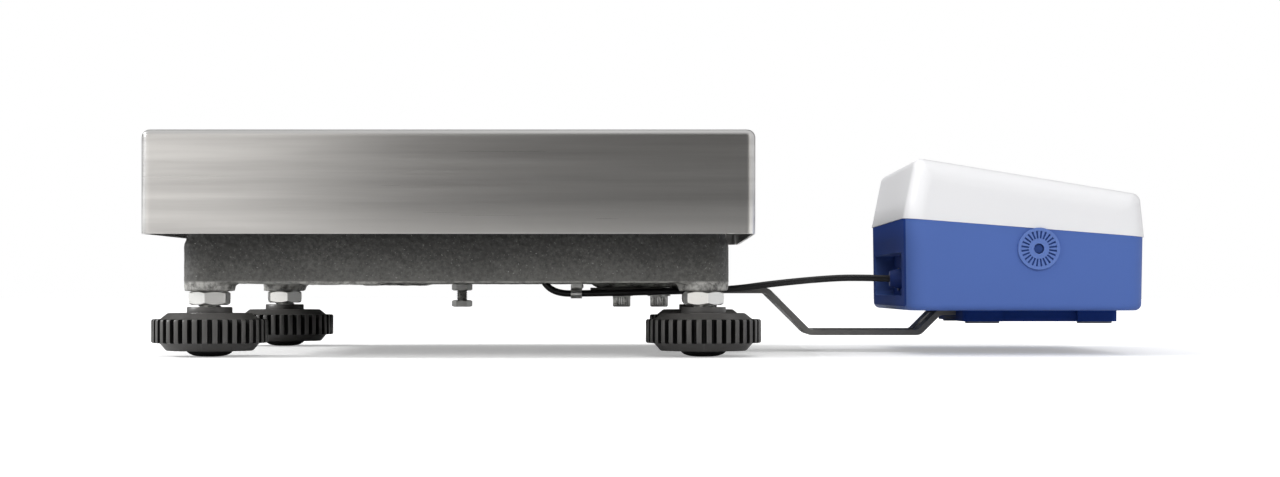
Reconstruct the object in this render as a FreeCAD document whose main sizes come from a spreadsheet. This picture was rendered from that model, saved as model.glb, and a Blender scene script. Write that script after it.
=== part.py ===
import FreeCAD, Part
import math
import os
import re
import Sketcher
from FreeCAD import Placement, Rotation, Vector

# Platform scale: a stainless weighing plate over a cast base on four screwed feet, with the
# display unit standing off to one side on a bent strip. Lengths are in millimetres and angles in
# degrees. +X runs from the plate to the display, +Z is up, and the origin is on the table, in the
# middle of the whole scale's outline.

SIZES = {
    # The weighing plate, a folded sheet with a deep skirt.
    "plate_long": 308, "plate_wide": 318, "plate_top": 114.5, "plate_skirt": 52.4,
    "plate_sheet": 1.5, "plate_corner": 5, "plate_bend": 4,
    # The cast base: a rim, a floor with four windows, a spine, a crossbar and corner lugs.
    "base_long": 276, "base_wide": 286, "base_shift": 2, "base_low": 37.5, "base_top": 70, "base_wall": 6,
    "base_floor": 5.5, "base_round": 14, "base_flange": 22, "spine_wide": 70, "bar_wide": 60,
    "window_round": 10, "rib_thick": 5, "rib_top": 56, "lug_radius": 13, "lug_low": 33.3,
    "lug_top": 58, "bead_drop": 0.9, "bead_long": 39,
    # The feet: a ribbed knob on an M12 stud, a rubber pad and a lock nut.
    "lug_inset_long": 11.75, "lug_inset_wide": 13.5, "foot_count_ribs": 36, "knob_radius": 29.5,
    "knob_core": 25, "knob_shoulder": 21, "knob_low": 3, "knob_rib_low": 7, "knob_rib_top": 19.1,
    "knob_deck": 22.2, "knob_hub_top": 25.3, "knob_hub": 11.5, "knob_sole": 22.2, "rib_wide": 2.6,
    "pad_radius": 11.85, "stud_radius": 6, "stud_top": 54, "stud_foot": 9,
    "nut_across": 19, "nut_thick": 7, "thread_gap": 0.1,
    # The load cell, lying along X under the middle of the plate, and what joins it.
    "cell_long": 150, "cell_wide": 25, "cell_high": 40, "cell_eye": 14, "cell_eye_apart": 34,
    "cell_slot": 3, "spacer_thick": 4, "spacer_long": 42, "cell_hole_end": 12,
    "cell_hole_apart": 19, "cell_screw_radius": 3, "cell_screw_deep": 13,
    # The carrier frame over the cell, with its rubber buffers.
    "carrier_high": 14, "carrier_skin": 4, "carrier_wall": 3, "carrier_spine": 60,
    "carrier_arm": 34, "carrier_reach": 250, "carrier_span": 262, "buffer_radius": 11,
    "buffer_stem": 4, "buffer_stem_deep": 7,
    # The overload stop under the middle.
    "stop_offset": 7.5, "stop_radius": 2.95, "stop_across": 10, "stop_head": 3.7,
    "stop_head_top": 28.3, "stop_nut_thick": 3.8, "stop_gap": 0.8,
    # The bent strip that carries the display.
    "strip_thick": 3.1, "strip_wide": 60, "strip_turn": 45, "strip_boss": 2.2,
    "strip_under": 72.6, "strip_drop": 25.2, "strip_low": 9.15, "strip_rise": 15.3,
    "strip_tab": 62, "strip_slot_wide": 14, "strip_bend": 2.5, "strip_screw_inset": 35,
    "strip_screw_apart": 21, "cap_radius": 5, "cap_high": 6, "washer_radius": 6.4,
    "washer_thick": 1.6, "screw_radius": 3,
    # The display unit.
    "display_gap": 78.3, "display_long": 126.2, "display_wide": 225, "display_low": 23.3,
    "display_wall": 2.6, "display_corner": 11, "seam_back": 71.4, "seam_tilt": 4.5,
    "top_back": 103.2, "top_tilt": 9.3, "back_lean": 6.4, "front_lean": 2.3, "draft_end": 1.3,
    "seam_step": 0.6, "top_edge": 5, "bottom_edge": 3.5,
    "recess_deep": 12, "recess_wide": 176, "recess_low": 31, "recess_high": 23,
    "post_radius": 4.5, "post_inset_long": 26, "post_inset_wide": 9.5, "post_joint": 58,
    "post_hole": 1.6,
    "rosette_back": 70, "rosette_height": 55.4, "rosette_ring": 10.9, "rosette_teeth_out": 9.3,
    "rosette_teeth_in": 5.3, "rosette_hole": 2.65, "rosette_proud": 1.7, "rosette_tooth": 1.1,
    "rosette_count": 24, "rosette_boss": 5.5, "rosette_deep": 12,
    # The panel on the sloping top: overlay, window, keys, and the parts under it.
    "panel_long": 100, "panel_wide": 200, "panel_round": 6, "panel_deep": 1,
    "overlay_thick": 0.8, "overlay_gap": 0.2, "window_at": -20, "window_long": 42,
    "window_wide": 132, "window_corner": 3, "key_at": 27, "key_long": 13, "key_wide": 20,
    "key_pitch": 30, "key_corner": 2, "key_gap": 0.25, "key_rim": 1.2, "key_rim_thick": 1,
    "key_proud": 0.7, "key_travel": 0.7, "switch_high": 3.5, "switch_side": 6,
    "board_thick": 1.6, "board_long": 96, "board_wide": 184, "board_post": 3.5,
    "board_screw": 1.25, "module_gap": 2,
    "battery_long": 48, "battery_wide": 68, "battery_high": 34, "battery_start": 30,
    "battery_side": 27,
    # The foot plate under the display, its rubber pads and the screws through the strip.
    "sole_start": 36, "sole_long": 83, "sole_wide": 130, "sole_drop": 6.2, "sole_notch": 40,
    "sole_notch_deep": 3, "pad_long": 17.5, "pad_wide": 12, "pad_thick": 1, "pad_inset": 2.5,
    "strip_gap": 0.15, "tab_screw": 2, "tab_screw_head": 3.8, "tab_screw_deep": 2.2,
    # The cable with its clip and gland.
    "cable_radius": 1.8, "cable_side": 38, "cable_gap": 0.1, "clip_sheet": 0.8, "clip_wide": 6,
    "clip_at": 58, "clip_drop": 5.4, "clip_hole": 26, "clip_end": 20, "clip_screw": 2, "clip_head": 3.5,
    "gland_radius": 7, "gland_nose": 4.2, "gland_flange": 4, "gland_thread": 5,
    "gland_height": 40.2, "gland_nut_across": 16, "gland_nut_thick": 3,
    "inlet_radius": 5.5, "inlet_bore": 3.2, "inlet_side": 48, "inlet_deep": 11, "inlet_pin": 0.9,
}

# Places worked out from the sizes. Each is used by name in the expressions below.
PLACES = {
    "plate_left": "-(plate_long + display_gap + display_long)/2",
    "plate_mid": "plate_left + plate_long/2",
    "plate_right": "plate_left + plate_long",
    "plate_under": "plate_top - plate_sheet",
    "base_mid": "plate_mid + base_shift",
    "base_right": "base_mid + base_long/2",
    "base_deck": "base_low + base_floor",
    "foot_span_long": "base_long - 2*lug_inset_long",
    "foot_span_wide": "base_wide - 2*lug_inset_wide",
    "cell_low": "base_deck + spacer_thick",
    "cell_top": "cell_low + cell_high",
    "carrier_low": "cell_top + spacer_thick",
    "carrier_top": "carrier_low + carrier_high",
    "cell_outer_hole": "cell_long/2 - cell_hole_end",
    "cell_inner_hole": "cell_outer_hole - cell_hole_apart",
    "spacer_mid": "cell_long/2 - spacer_long/2",
    "strip_top": "base_low - strip_boss",
    "strip_start": "base_right - strip_under",
    "strip_screw_near": "base_right - strip_screw_inset",
    "strip_fold": "strip_thick*tan(strip_turn/2)",
    "display_back": "plate_right + display_gap",
    "display_front": "display_back + display_long",
    "display_mid": "display_back + display_long/2",
    "seam_front": "seam_back - display_long*tan(seam_tilt)",
    "top_front": "top_back - (display_long - back_lean - front_lean)*tan(top_tilt)",
    "top_mid_long": "display_mid + (back_lean - front_lean)/2",
    "top_mid_height": "top_back - (display_long - back_lean - front_lean)/2*tan(top_tilt)",
    "recess_wall": "display_back + recess_deep",
    "rosette_at": "display_back + rosette_back",
    "sole_low": "display_low - sole_drop",
    "sole_at": "display_back + sole_start",
    "board_top": "display_wall + key_rim_thick + key_travel + 0.1 + switch_high",
    "post_back": "display_back + post_inset_long",
    "post_front": "display_front - post_inset_long/2",
    "post_side": "display_wide/2 - post_inset_wide - display_wall",
}

doc = FreeCAD.newDocument("PlatformScale")
sheet = doc.addObject("Spreadsheet::Sheet", "Sizes")
for row, (alias, size) in enumerate(SIZES.items(), start=1):
    sheet.set(f"A{row}", alias)
    sheet.set(f"B{row}", str(size))
    sheet.setAlias(f"B{row}", alias)
doc.recompute()

PIECES = []


def tie(text):
    """Turn plain names into an expression on the sheet's cells."""
    def swap(match):
        word = match.group(0)
        if word in PLACES:
            return "(" + tie(PLACES[word]) + ")"
        return "Sizes." + word if word in SIZES else word
    return re.sub(r"[a-z_]+", swap, str(text))


def number(text):
    """The value of an expression, as a plain number."""
    found = sheet.evalExpression(tie(text))
    return float(getattr(found, "Value", found))


def bind(thing, place, text):
    """Tie one property of an object to the sizes."""
    thing.setExpression(place, tie(text))


def hold(sketch, kind, item, spot, text):
    """Hold one point of a sketch at a distance from the sketch's own origin."""
    index = sketch.addConstraint(Sketcher.Constraint(kind, -1, 1, item, spot, number(text)))
    bind(sketch, f"Constraints[{index}]", text)


def outline(sketch, points):
    """Draw a closed polygon."""
    first = sketch.GeometryCount
    count = len(points)
    spots = [Vector(number(x), number(y), 0) for x, y in points]
    sketch.addGeometry([Part.LineSegment(spots[i], spots[(i + 1) % count]) for i in range(count)])
    sketch.addConstraint([Sketcher.Constraint("Coincident", first + i, 2, first + (i + 1) % count, 1)
                          for i in range(count)])
    for i, (x, y) in enumerate(points):
        hold(sketch, "DistanceX", first + i, 1, x)
        hold(sketch, "DistanceY", first + i, 1, y)


def rectangle(sketch, left, right, low, high):
    """Draw a rectangle with sharp corners."""
    outline(sketch, [(left, low), (right, low), (right, high), (left, high)])


def circle(sketch, x, y, radius):
    """Draw a circle."""
    centre = Vector(number(x), number(y), 0)
    index = sketch.addGeometry(Part.Circle(centre, Vector(0, 0, 1), number(radius)))
    hold(sketch, "DistanceX", index, 3, x)
    hold(sketch, "DistanceY", index, 3, y)
    size = sketch.addConstraint(Sketcher.Constraint("Radius", index, number(radius)))
    bind(sketch, f"Constraints[{size}]", radius)


def hexagon(sketch, x, y, across):
    """Draw a hexagon of a given size across its flats."""
    outline(sketch, [(f"{x} + {across}/sqrt(3)*cos({60 * i})", f"{y} + {across}/sqrt(3)*sin({60 * i})")
                     for i in range(6)])


def rounded(sketch, left, right, low, high, corner):
    """Draw a rectangle with four equal rounded corners."""
    x0, x1, y0, y1, r = [number(text) for text in (left, right, low, high, corner)]
    first = sketch.GeometryCount
    sides = [((x0 + r, y0), (x1 - r, y0)), ((x1, y0 + r), (x1, y1 - r)),
             ((x1 - r, y1), (x0 + r, y1)), ((x0, y1 - r), (x0, y0 + r))]
    centres = [(x1 - r, y0 + r), (x1 - r, y1 - r), (x0 + r, y1 - r), (x0 + r, y0 + r)]
    shapes = []
    for i in range(4):
        shapes.append(Part.LineSegment(Vector(*sides[i][0], 0), Vector(*sides[i][1], 0)))
        turn = math.radians(90 * i - 90)
        shapes.append(Part.ArcOfCircle(Part.Circle(Vector(*centres[i], 0), Vector(0, 0, 1), r),
                                       turn, turn + math.pi/2))
    sketch.addGeometry(shapes)
    joins = []
    for i in range(4):
        line, arc, after = first + 2*i, first + 2*i + 1, first + (2*i + 2) % 8
        joins.append(Sketcher.Constraint("Tangent", line, 2, arc, 1))
        joins.append(Sketcher.Constraint("Tangent", arc, 2, after, 1))
        joins.append(Sketcher.Constraint("Horizontal" if i % 2 == 0 else "Vertical", line))
        if i:
            joins.append(Sketcher.Constraint("Equal", first + 1, arc))
    sketch.addConstraint(joins)
    size = sketch.addConstraint(Sketcher.Constraint("Radius", first + 1, r))
    bind(sketch, f"Constraints[{size}]", corner)
    hold(sketch, "DistanceY", first, 1, low)
    hold(sketch, "DistanceX", first + 2, 1, right)
    hold(sketch, "DistanceY", first + 4, 1, high)
    hold(sketch, "DistanceX", first + 6, 1, left)


class Piece:
    """One separate piece of the scale, with short calls for its sketches and features."""

    def __init__(self, name, kept=True):
        self.body = doc.addObject("PartDesign::Body", name)
        self.body.Label = name
        self.planes = {item.Role: item for item in self.body.Origin.OriginFeatures}
        self.last = None
        if kept:
            PIECES.append(self.body)

    def place(self, x, y, z, turn=None):
        """Move the whole piece, and tip it about Y where it lies on the sloping top."""
        if turn:
            self.body.Placement = Placement(Vector(), Rotation(Vector(0, 1, 0), number(turn)))
            bind(self.body, "Placement.Rotation.Angle", turn)
        for axis, text in zip("xyz", (x, y, z)):
            bind(self.body, f"Placement.Base.{axis}", text)
        return self

    def sketch(self, plane="XY", x="0", y="0", z="0", turn=None):
        """Start a sketch on an origin plane, shifted in the plane's own axes and tipped."""
        sketch = self.body.newObject("Sketcher::SketchObject", "outline")
        sketch.AttachmentSupport = [(self.planes[plane + "_Plane"], "")]
        sketch.MapMode = "FlatFace"
        if turn:
            sketch.AttachmentOffset = Placement(Vector(), Rotation(Vector(0, 1, 0), number(turn)))
            bind(sketch, "AttachmentOffset.Rotation.Angle", turn)
        for axis, text in zip("xyz", (x, y, z)):
            if text != "0":
                bind(sketch, f"AttachmentOffset.Base.{axis}", text)
        return sketch

    def settle(self, feature, grows):
        """Recompute a new feature and make sure that it added or removed material."""
        before = self.last.Shape.Volume if self.last else 0.0
        doc.recompute()
        change = feature.Shape.Volume - before
        if "Up-to-date" not in feature.State or (change > 0) != grows or abs(change) < 0.001:
            raise ValueError(f"{self.body.Label}: {feature.Name} changed the volume by {change}")
        self.last = feature
        self.body.Tip = feature
        return feature

    def pad(self, sketch, length, back=False, middle=False):
        """Raise a sketch by a length."""
        feature = self.body.newObject("PartDesign::Pad", "raised")
        feature.Profile = sketch
        feature.Reversed = back
        feature.Midplane = middle
        bind(feature, "Length", length)
        return self.settle(feature, True)

    def pocket(self, sketch, length, back=False, middle=False):
        """Cut a sketch to a depth: below its plane, or above it with back set."""
        feature = self.body.newObject("PartDesign::Pocket", "cut")
        feature.Profile = sketch
        feature.Reversed = back
        feature.Midplane = middle
        bind(feature, "Length", length)
        return self.settle(feature, False)

    def turned(self, sketch, cuts=False):
        """Turn a sketch once round its own vertical axis."""
        feature = self.body.newObject("PartDesign::Groove" if cuts else "PartDesign::Revolution",
                                      "turned")
        feature.Profile = sketch
        feature.ReferenceAxis = (sketch, ["V_Axis"])
        feature.Angle = 360
        return self.settle(feature, not cuts)

    def shell(self, wanted, wall):
        """Hollow the piece to an even wall, open at the faces that a test picks."""
        feature = self.body.newObject("PartDesign::Thickness", "hollow")
        faces = [f"Face{i + 1}" for i, face in enumerate(self.last.Shape.Faces) if wanted(face)]
        feature.Base = (self.last, faces)
        feature.Join = "Intersection"
        feature.Reversed = True
        bind(feature, "Value", wall)
        return self.settle(feature, False)

    def less(self, core):
        """Take the solid of a moulding core out of the piece."""
        feature = self.body.newObject("PartDesign::Boolean", "hollow")
        feature.Type = "Cut"
        feature.setObjects([core.body])
        return self.settle(feature, False)

    def around(self, feature, axis, count, grows=True):
        """Repeat a feature round an axis."""
        pattern = self.body.newObject("PartDesign::PolarPattern", "ring")
        pattern.Originals = [feature]
        pattern.Axis = axis
        pattern.Angle = 360
        bind(pattern, "Occurrences", count)
        return self.settle(pattern, grows)

    def fillet(self, wanted, radius, chamfer=False):
        """Round or bevel the edges that a test picks."""
        edges = [f"Edge{i + 1}" for i, edge in enumerate(self.last.Shape.Edges) if wanted(edge)]
        feature = self.body.newObject("PartDesign::Chamfer" if chamfer else "PartDesign::Fillet",
                                      "eased")
        feature.Base = (self.last, edges)
        bind(feature, "Size" if chamfer else "Radius", radius)
        before = self.last.Shape.Volume
        doc.recompute()
        if "Up-to-date" not in feature.State or feature.Shape.Volume == before:
            raise ValueError(f"{self.body.Label}: the edges were not eased")
        self.last = feature
        self.body.Tip = feature
        return feature


def level(edge, height):
    """Tell whether an edge lies flat at a height."""
    box = edge.BoundBox
    return abs(box.ZMin - height) < 0.01 and abs(box.ZMax - height) < 0.01


def on_plane(shape, tilt, x, z):
    """Tell whether an edge or a face lies on a plane tipped about Y through a point."""
    normal = Rotation(Vector(0, 1, 0), number(tilt)).multVec(Vector(0, 0, 1))
    height = Vector(number(x), 0, number(z)).dot(normal)
    return all(abs(corner.Point.dot(normal) - height) < 0.01 for corner in shape.Vertexes)


def corner_edge(edge):
    """Tell whether an edge stands at a corner of the display."""
    return edge.BoundBox.ZLength > 15 and edge.BoundBox.YLength < 0.01


def slope(rise=0):
    """Where a sketch or a piece lies on the sloping top, or this far above it."""
    return {"x": f"top_mid_long + ({rise})*sin(top_tilt)",
            "z": f"top_mid_height + ({rise})*cos(top_tilt)", "turn": "top_tilt"}


def four(long, wide):
    """The four corners of a rectangle about the middle of the base."""
    return [(f"base_mid {a} {long}", f"{b} {wide}") for a in "-+" for b in "-+"]


def weighing_plate():
    """Fold the stainless plate: a flat top with a skirt all round and rounded edges."""
    piece = Piece("weighing_plate")
    low = piece.sketch(z="plate_top - plate_skirt")
    rounded(low, "plate_mid - plate_long/2", "plate_mid + plate_long/2", "-plate_wide/2",
            "plate_wide/2", "plate_corner")
    piece.pad(low, "plate_skirt")
    piece.fillet(lambda edge: level(edge, number("plate_top")), "plate_bend")
    piece.shell(lambda face: level(face, number("plate_top - plate_skirt")), "plate_sheet")


def base_frame():
    """Cast the base: rim, floor with windows, ribs, lugs and the seat of the bent strip."""
    piece = Piece("base_frame")
    rim = piece.sketch(z="base_low")
    rounded(rim, "base_mid - base_long/2", "base_mid + base_long/2", "-base_wide/2",
            "base_wide/2", "base_round")
    piece.pad(rim, "base_top - base_low")
    hollow = piece.sketch(z="base_deck")
    rounded(hollow, "base_mid - base_long/2 + base_wall", "base_mid + base_long/2 - base_wall",
            "-base_wide/2 + base_wall", "base_wide/2 - base_wall", "base_round - base_wall")
    piece.pocket(hollow, "base_top - base_low", back=True)
    windows = piece.sketch(z="base_low")
    for side in (-1, 1):
        for end in (-1, 1):
            near, far = "bar_wide/2", "(base_long/2 - base_flange)"
            edge, rail = "spine_wide/2", "(base_wide/2 - base_flange)"
            left, right = sorted((f"base_mid + {end}*{near}", f"base_mid + {end}*{far}"), key=number)
            low, high = sorted((f"{side}*{edge}", f"{side}*{rail}"), key=number)
            rounded(windows, left, right, low, high, "window_round")
    piece.pocket(windows, "base_floor", back=True)
    ribs = piece.sketch(z="base_low")
    for side in (-1, 1):
        middle = f"{side}*(spine_wide - rib_thick)/2"
        rectangle(ribs, "base_mid - base_long/2 + base_wall/2", "base_mid + base_long/2 - base_wall/2",
                  f"{middle} - rib_thick/2", f"{middle} + rib_thick/2")
    piece.pad(ribs, "rib_top - base_low")
    cross = piece.sketch(z="base_low")
    for end in (-1, 1):
        middle = f"base_mid + {end}*(bar_wide - rib_thick)/2"
        for side in (-1, 1):
            low, high = sorted((f"{side}*(spine_wide - rib_thick)/2",
                                f"{side}*(base_wide - base_wall)/2"), key=number)
            rectangle(cross, f"{middle} - rib_thick/2", f"{middle} + rib_thick/2", low, high)
    piece.pad(cross, "rib_top - base_low")
    lugs = piece.sketch(z="lug_low")
    for x, y in four("foot_span_long/2", "foot_span_wide/2"):
        circle(lugs, x, y, "lug_radius")
    piece.pad(lugs, "lug_top - lug_low")
    taps = piece.sketch(z="lug_low")
    for x, y in four("foot_span_long/2", "foot_span_wide/2"):
        circle(taps, x, y, "stud_radius + thread_gap")
    piece.pocket(taps, "lug_top - lug_low", back=True)
    bead = piece.sketch(z="base_low - bead_drop")
    rounded(bead, "base_mid - base_long/4 + bar_wide/2 - bead_long", "base_mid - base_long/4 + bar_wide/2",
            "-base_wide/2", "-base_wide/2 + base_flange", "bead_drop*2")
    rounded(bead, "base_mid - base_long/4 + bar_wide/2 - bead_long", "base_mid - base_long/4 + bar_wide/2",
            "base_wide/2 - base_flange", "base_wide/2", "bead_drop*2")
    piece.pad(bead, "bead_drop")
    seat = piece.sketch(z="strip_top")
    rounded(seat, "strip_start + 2", "base_right - 3", "-strip_wide/2", "strip_wide/2", "base_wall")
    piece.pad(seat, "strip_boss + base_floor/2")
    holes = piece.sketch(z="strip_top")
    for step in (0, 1):
        circle(holes, f"strip_screw_near - {step}*strip_screw_apart", "0", "screw_radius + thread_gap")
    piece.pocket(holes, "strip_boss + base_floor", back=True)
    holes = piece.sketch(z="base_low")
    for place in ("cell_outer_hole", "cell_inner_hole"):
        circle(holes, f"base_mid + {place}", "0", "cell_screw_radius + thread_gap")
    circle(holes, "base_mid - stop_offset", "0", "stop_radius + thread_gap")
    circle(holes, "base_mid + clip_at", "-clip_hole", "clip_screw + thread_gap")
    piece.pocket(holes, "base_floor", back=True)
    for place in ("cell_outer_hole", "cell_inner_hole"):
        cone = piece.sketch("XZ", x=f"base_mid + {place}")
        outline(cone, [("0", "base_low"), ("2*cell_screw_radius + thread_gap", "base_low"),
                       ("cell_screw_radius + thread_gap", "base_low + cell_screw_radius"),
                       ("0", "base_low + cell_screw_radius")])
        piece.turned(cone, cuts=True)
    piece.fillet(lambda edge: level(edge, number("base_top")), "base_wall/5")


def lock_nuts():
    """Four thin nuts, each tight against its lug."""
    piece = Piece("lock_nuts")
    flats = piece.sketch(z="lug_low - nut_thick")
    for x, y in four("foot_span_long/2", "foot_span_wide/2"):
        hexagon(flats, x, y, "nut_across")
        circle(flats, x, y, "stud_radius + thread_gap")
    piece.pad(flats, "nut_thick")


def foot(order, x, y):
    """One foot: the ribbed knob moulded round its stud, with the rubber pad under it."""
    knob = Piece(f"foot_knob_{order}").place(x, y, "0")
    section = knob.sketch("XZ")
    outline(section, [
        ("0", "knob_low"), ("knob_sole", "knob_low"), ("knob_core + 0.5", "knob_rib_low"),
        ("knob_core", "knob_rib_low"), ("knob_core", "knob_rib_top"),
        ("knob_shoulder", "knob_deck"), ("knob_hub", "knob_deck"), ("knob_hub", "knob_hub_top"),
        ("0", "knob_hub_top")])
    knob.turned(section)
    rib = knob.sketch("XZ")
    outline(rib, [
        ("knob_core - 2", "knob_rib_low"), ("knob_radius - 1", "knob_rib_low"),
        ("knob_radius", "knob_rib_low + 1"), ("knob_radius", "knob_rib_top - 1.5"),
        ("knob_radius - 1", "knob_rib_top"), ("knob_core - 2", "knob_rib_top")])
    first = knob.pad(rib, "rib_wide", middle=True)
    knob.around(first, (knob.planes["Z_Axis"], [""]), "foot_count_ribs")
    bore = knob.sketch(z="stud_foot")
    circle(bore, "0", "0", "stud_radius + thread_gap/2")
    knob.pocket(bore, "knob_hub_top", back=True)

    stud = Piece(f"foot_stud_{order}").place(x, y, "0")
    shaft = stud.sketch("XZ")
    outline(shaft, [("0", "stud_foot"), ("stud_radius", "stud_foot"),
                    ("stud_radius", "stud_top - 1"), ("stud_radius - 1", "stud_top"),
                    ("0", "stud_top")])
    stud.turned(shaft)

    pad = Piece(f"foot_pad_{order}").place(x, y, "0")
    dome = pad.sketch("XZ")
    outline(dome, [("0", "0"), ("pad_radius - 2.6", "0"), ("pad_radius - 1.1", "knob_low*0.2"),
                   ("pad_radius - 0.2", "knob_low*0.55"), ("pad_radius", "knob_low"),
                   ("0", "knob_low")])
    pad.turned(dome)


def load_cell():
    """The single-point load cell: a bar with the double eye that lets it bend as a parallelogram."""
    piece = Piece("load_cell")
    side = piece.sketch("XZ")
    rectangle(side, "base_mid - cell_long/2", "base_mid + cell_long/2", "cell_low", "cell_top")
    piece.pad(side, "cell_wide", middle=True)
    eyes = piece.sketch("XZ")
    for end in "-+":
        circle(eyes, f"base_mid {end} cell_eye_apart/2", "cell_low + cell_high/2", "cell_eye")
    piece.pocket(eyes, "cell_wide + 2", middle=True)
    slot = piece.sketch("XZ")
    rectangle(slot, "base_mid - cell_eye_apart/2", "base_mid + cell_eye_apart/2",
              "cell_low + cell_high/2 - cell_eye + cell_slot",
              "cell_low + cell_high/2 + cell_eye - cell_slot")
    piece.pocket(slot, "cell_wide + 2", middle=True)
    under = piece.sketch(z="cell_low")
    above = piece.sketch(z="cell_top")
    for place in ("cell_outer_hole", "cell_inner_hole"):
        circle(under, f"base_mid + {place}", "0", "cell_screw_radius + thread_gap/2")
        circle(above, f"base_mid - {place}", "0", "cell_screw_radius + thread_gap/2")
    piece.pocket(under, "cell_screw_deep", back=True)
    piece.pocket(above, "cell_screw_deep")
    piece.fillet(lambda edge: abs(edge.BoundBox.YLength - number("cell_wide")) < 0.01
                 and abs(abs(edge.CenterOfMass.x - number("base_mid")) - number("cell_long/2")) < 0.01,
                 "plate_sheet")


def spacer(name, end, low):
    """A flat plate between the cell and what it is screwed to."""
    piece = Piece(name)
    flat = piece.sketch(z=low)
    rectangle(flat, f"base_mid {end} spacer_mid - spacer_long/2",
              f"base_mid {end} spacer_mid + spacer_long/2", "-cell_wide/2", "cell_wide/2")
    for place in ("cell_outer_hole", "cell_inner_hole"):
        circle(flat, f"base_mid {end} {place}", "0", "cell_screw_radius + thread_gap")
    piece.pad(flat, "spacer_thick")


def cell_screws():
    """The screws of the cell: flat heads through the floor, cap heads on the carrier."""
    piece = Piece("cell_floor_screws")
    for place in ("cell_outer_hole", "cell_inner_hole"):
        side = piece.sketch("XZ", x=f"base_mid + {place}")
        outline(side, [("0", "base_low"), ("2*cell_screw_radius", "base_low"),
                       ("cell_screw_radius", "base_low + cell_screw_radius"),
                       ("cell_screw_radius", "cell_low + cell_screw_deep - 1"),
                       ("0", "cell_low + cell_screw_deep - 1")])
        piece.turned(side)
    piece = Piece("cell_carrier_screws")
    heads = piece.sketch(z="carrier_top")
    shanks = piece.sketch(z="carrier_top")
    keys = piece.sketch(z="carrier_top + cap_high")
    for place in ("cell_outer_hole", "cell_inner_hole"):
        circle(heads, f"base_mid - {place}", "0", "cap_radius")
        circle(shanks, f"base_mid - {place}", "0", "cell_screw_radius")
        hexagon(keys, f"base_mid - {place}", "0", "cap_radius")
    piece.pad(heads, "cap_high")
    piece.pad(shanks, "carrier_high + spacer_thick + cell_screw_deep - 1", back=True)
    piece.pocket(keys, "cap_high/2")


def carrier_frame():
    """The frame that carries the plate on the free end of the cell: a hollow H with a solid pad."""
    piece = Piece("carrier_frame")

    def letter(inset):
        """The outline of the H, drawn in by an inset."""
        reach, span = f"(carrier_reach/2 - {inset})", f"(carrier_span/2 - {inset})"
        neck, spine = f"(carrier_reach/2 - carrier_arm + {inset})", f"(carrier_spine/2 - {inset})"
        right = [(neck, f"-{spine}"), (neck, f"-{span}"), (reach, f"-{span}"), (reach, span),
                 (neck, span), (neck, spine)]
        left = [(f"-{a}", b) for a, b in reversed(right)]
        return [(f"base_mid + {a}", b) for a, b in right + left]

    body = piece.sketch(z="carrier_low")
    outline(body, letter("0"))
    piece.pad(body, "carrier_high")
    hollow = piece.sketch(z="carrier_low")
    outline(hollow, letter("carrier_wall"))
    piece.pocket(hollow, "carrier_high - carrier_skin", back=True)
    boss = piece.sketch(z="carrier_low")
    rectangle(boss, "base_mid - spacer_mid - spacer_long/2", "base_mid - spacer_mid + spacer_long/2",
              "-carrier_spine/2 + carrier_wall/2", "carrier_spine/2 - carrier_wall/2")
    piece.pad(boss, "carrier_high - carrier_skin/2")
    holes = piece.sketch(z="carrier_low")
    for place in ("cell_outer_hole", "cell_inner_hole"):
        circle(holes, f"base_mid - {place}", "0", "cell_screw_radius + thread_gap")
    for x, y in four("(carrier_reach - carrier_arm)/2", "(carrier_span - carrier_arm)/2"):
        circle(holes, x, y, "buffer_stem + thread_gap")
    piece.pocket(holes, "carrier_high", back=True)
    piece.fillet(lambda edge: edge.BoundBox.ZLength > number("carrier_high") - 0.01
                 and abs(edge.CenterOfMass.y) > number("carrier_span/2") - 0.1, "carrier_arm/4")


def rubber_buffers():
    """Four rubber buffers, each with a stem through the end of an arm."""
    piece = Piece("rubber_buffers")
    tops = piece.sketch(z="carrier_top")
    stems = piece.sketch(z="carrier_top")
    for x, y in four("(carrier_reach - carrier_arm)/2", "(carrier_span - carrier_arm)/2"):
        circle(tops, x, y, "buffer_radius")
        circle(stems, x, y, "buffer_stem")
    piece.pad(tops, "plate_under - carrier_top")
    piece.pad(stems, "buffer_stem_deep", back=True)


def overload_stop():
    """The stop screw under the middle of the cell, with its thin nut against the floor."""
    screw = Piece("overload_screw").place("base_mid - stop_offset", "0", "0")
    head = screw.sketch(z="stop_head_top")
    hexagon(head, "0", "0", "stop_across")
    screw.pad(head, "stop_head", back=True)
    shank = screw.sketch(z="stop_head_top")
    circle(shank, "0", "0", "stop_radius")
    screw.pad(shank, "cell_low - stop_gap - stop_head_top")
    screw.fillet(lambda edge: level(edge, number("cell_low - stop_gap")), "stop_radius/4", chamfer=True)
    nut = Piece("overload_nut").place("base_mid - stop_offset", "0", "0")
    flats = nut.sketch(z="base_low - stop_nut_thick")
    hexagon(flats, "0", "0", "stop_across")
    circle(flats, "0", "0", "stop_radius + thread_gap")
    nut.pad(flats, "stop_nut_thick")


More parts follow.
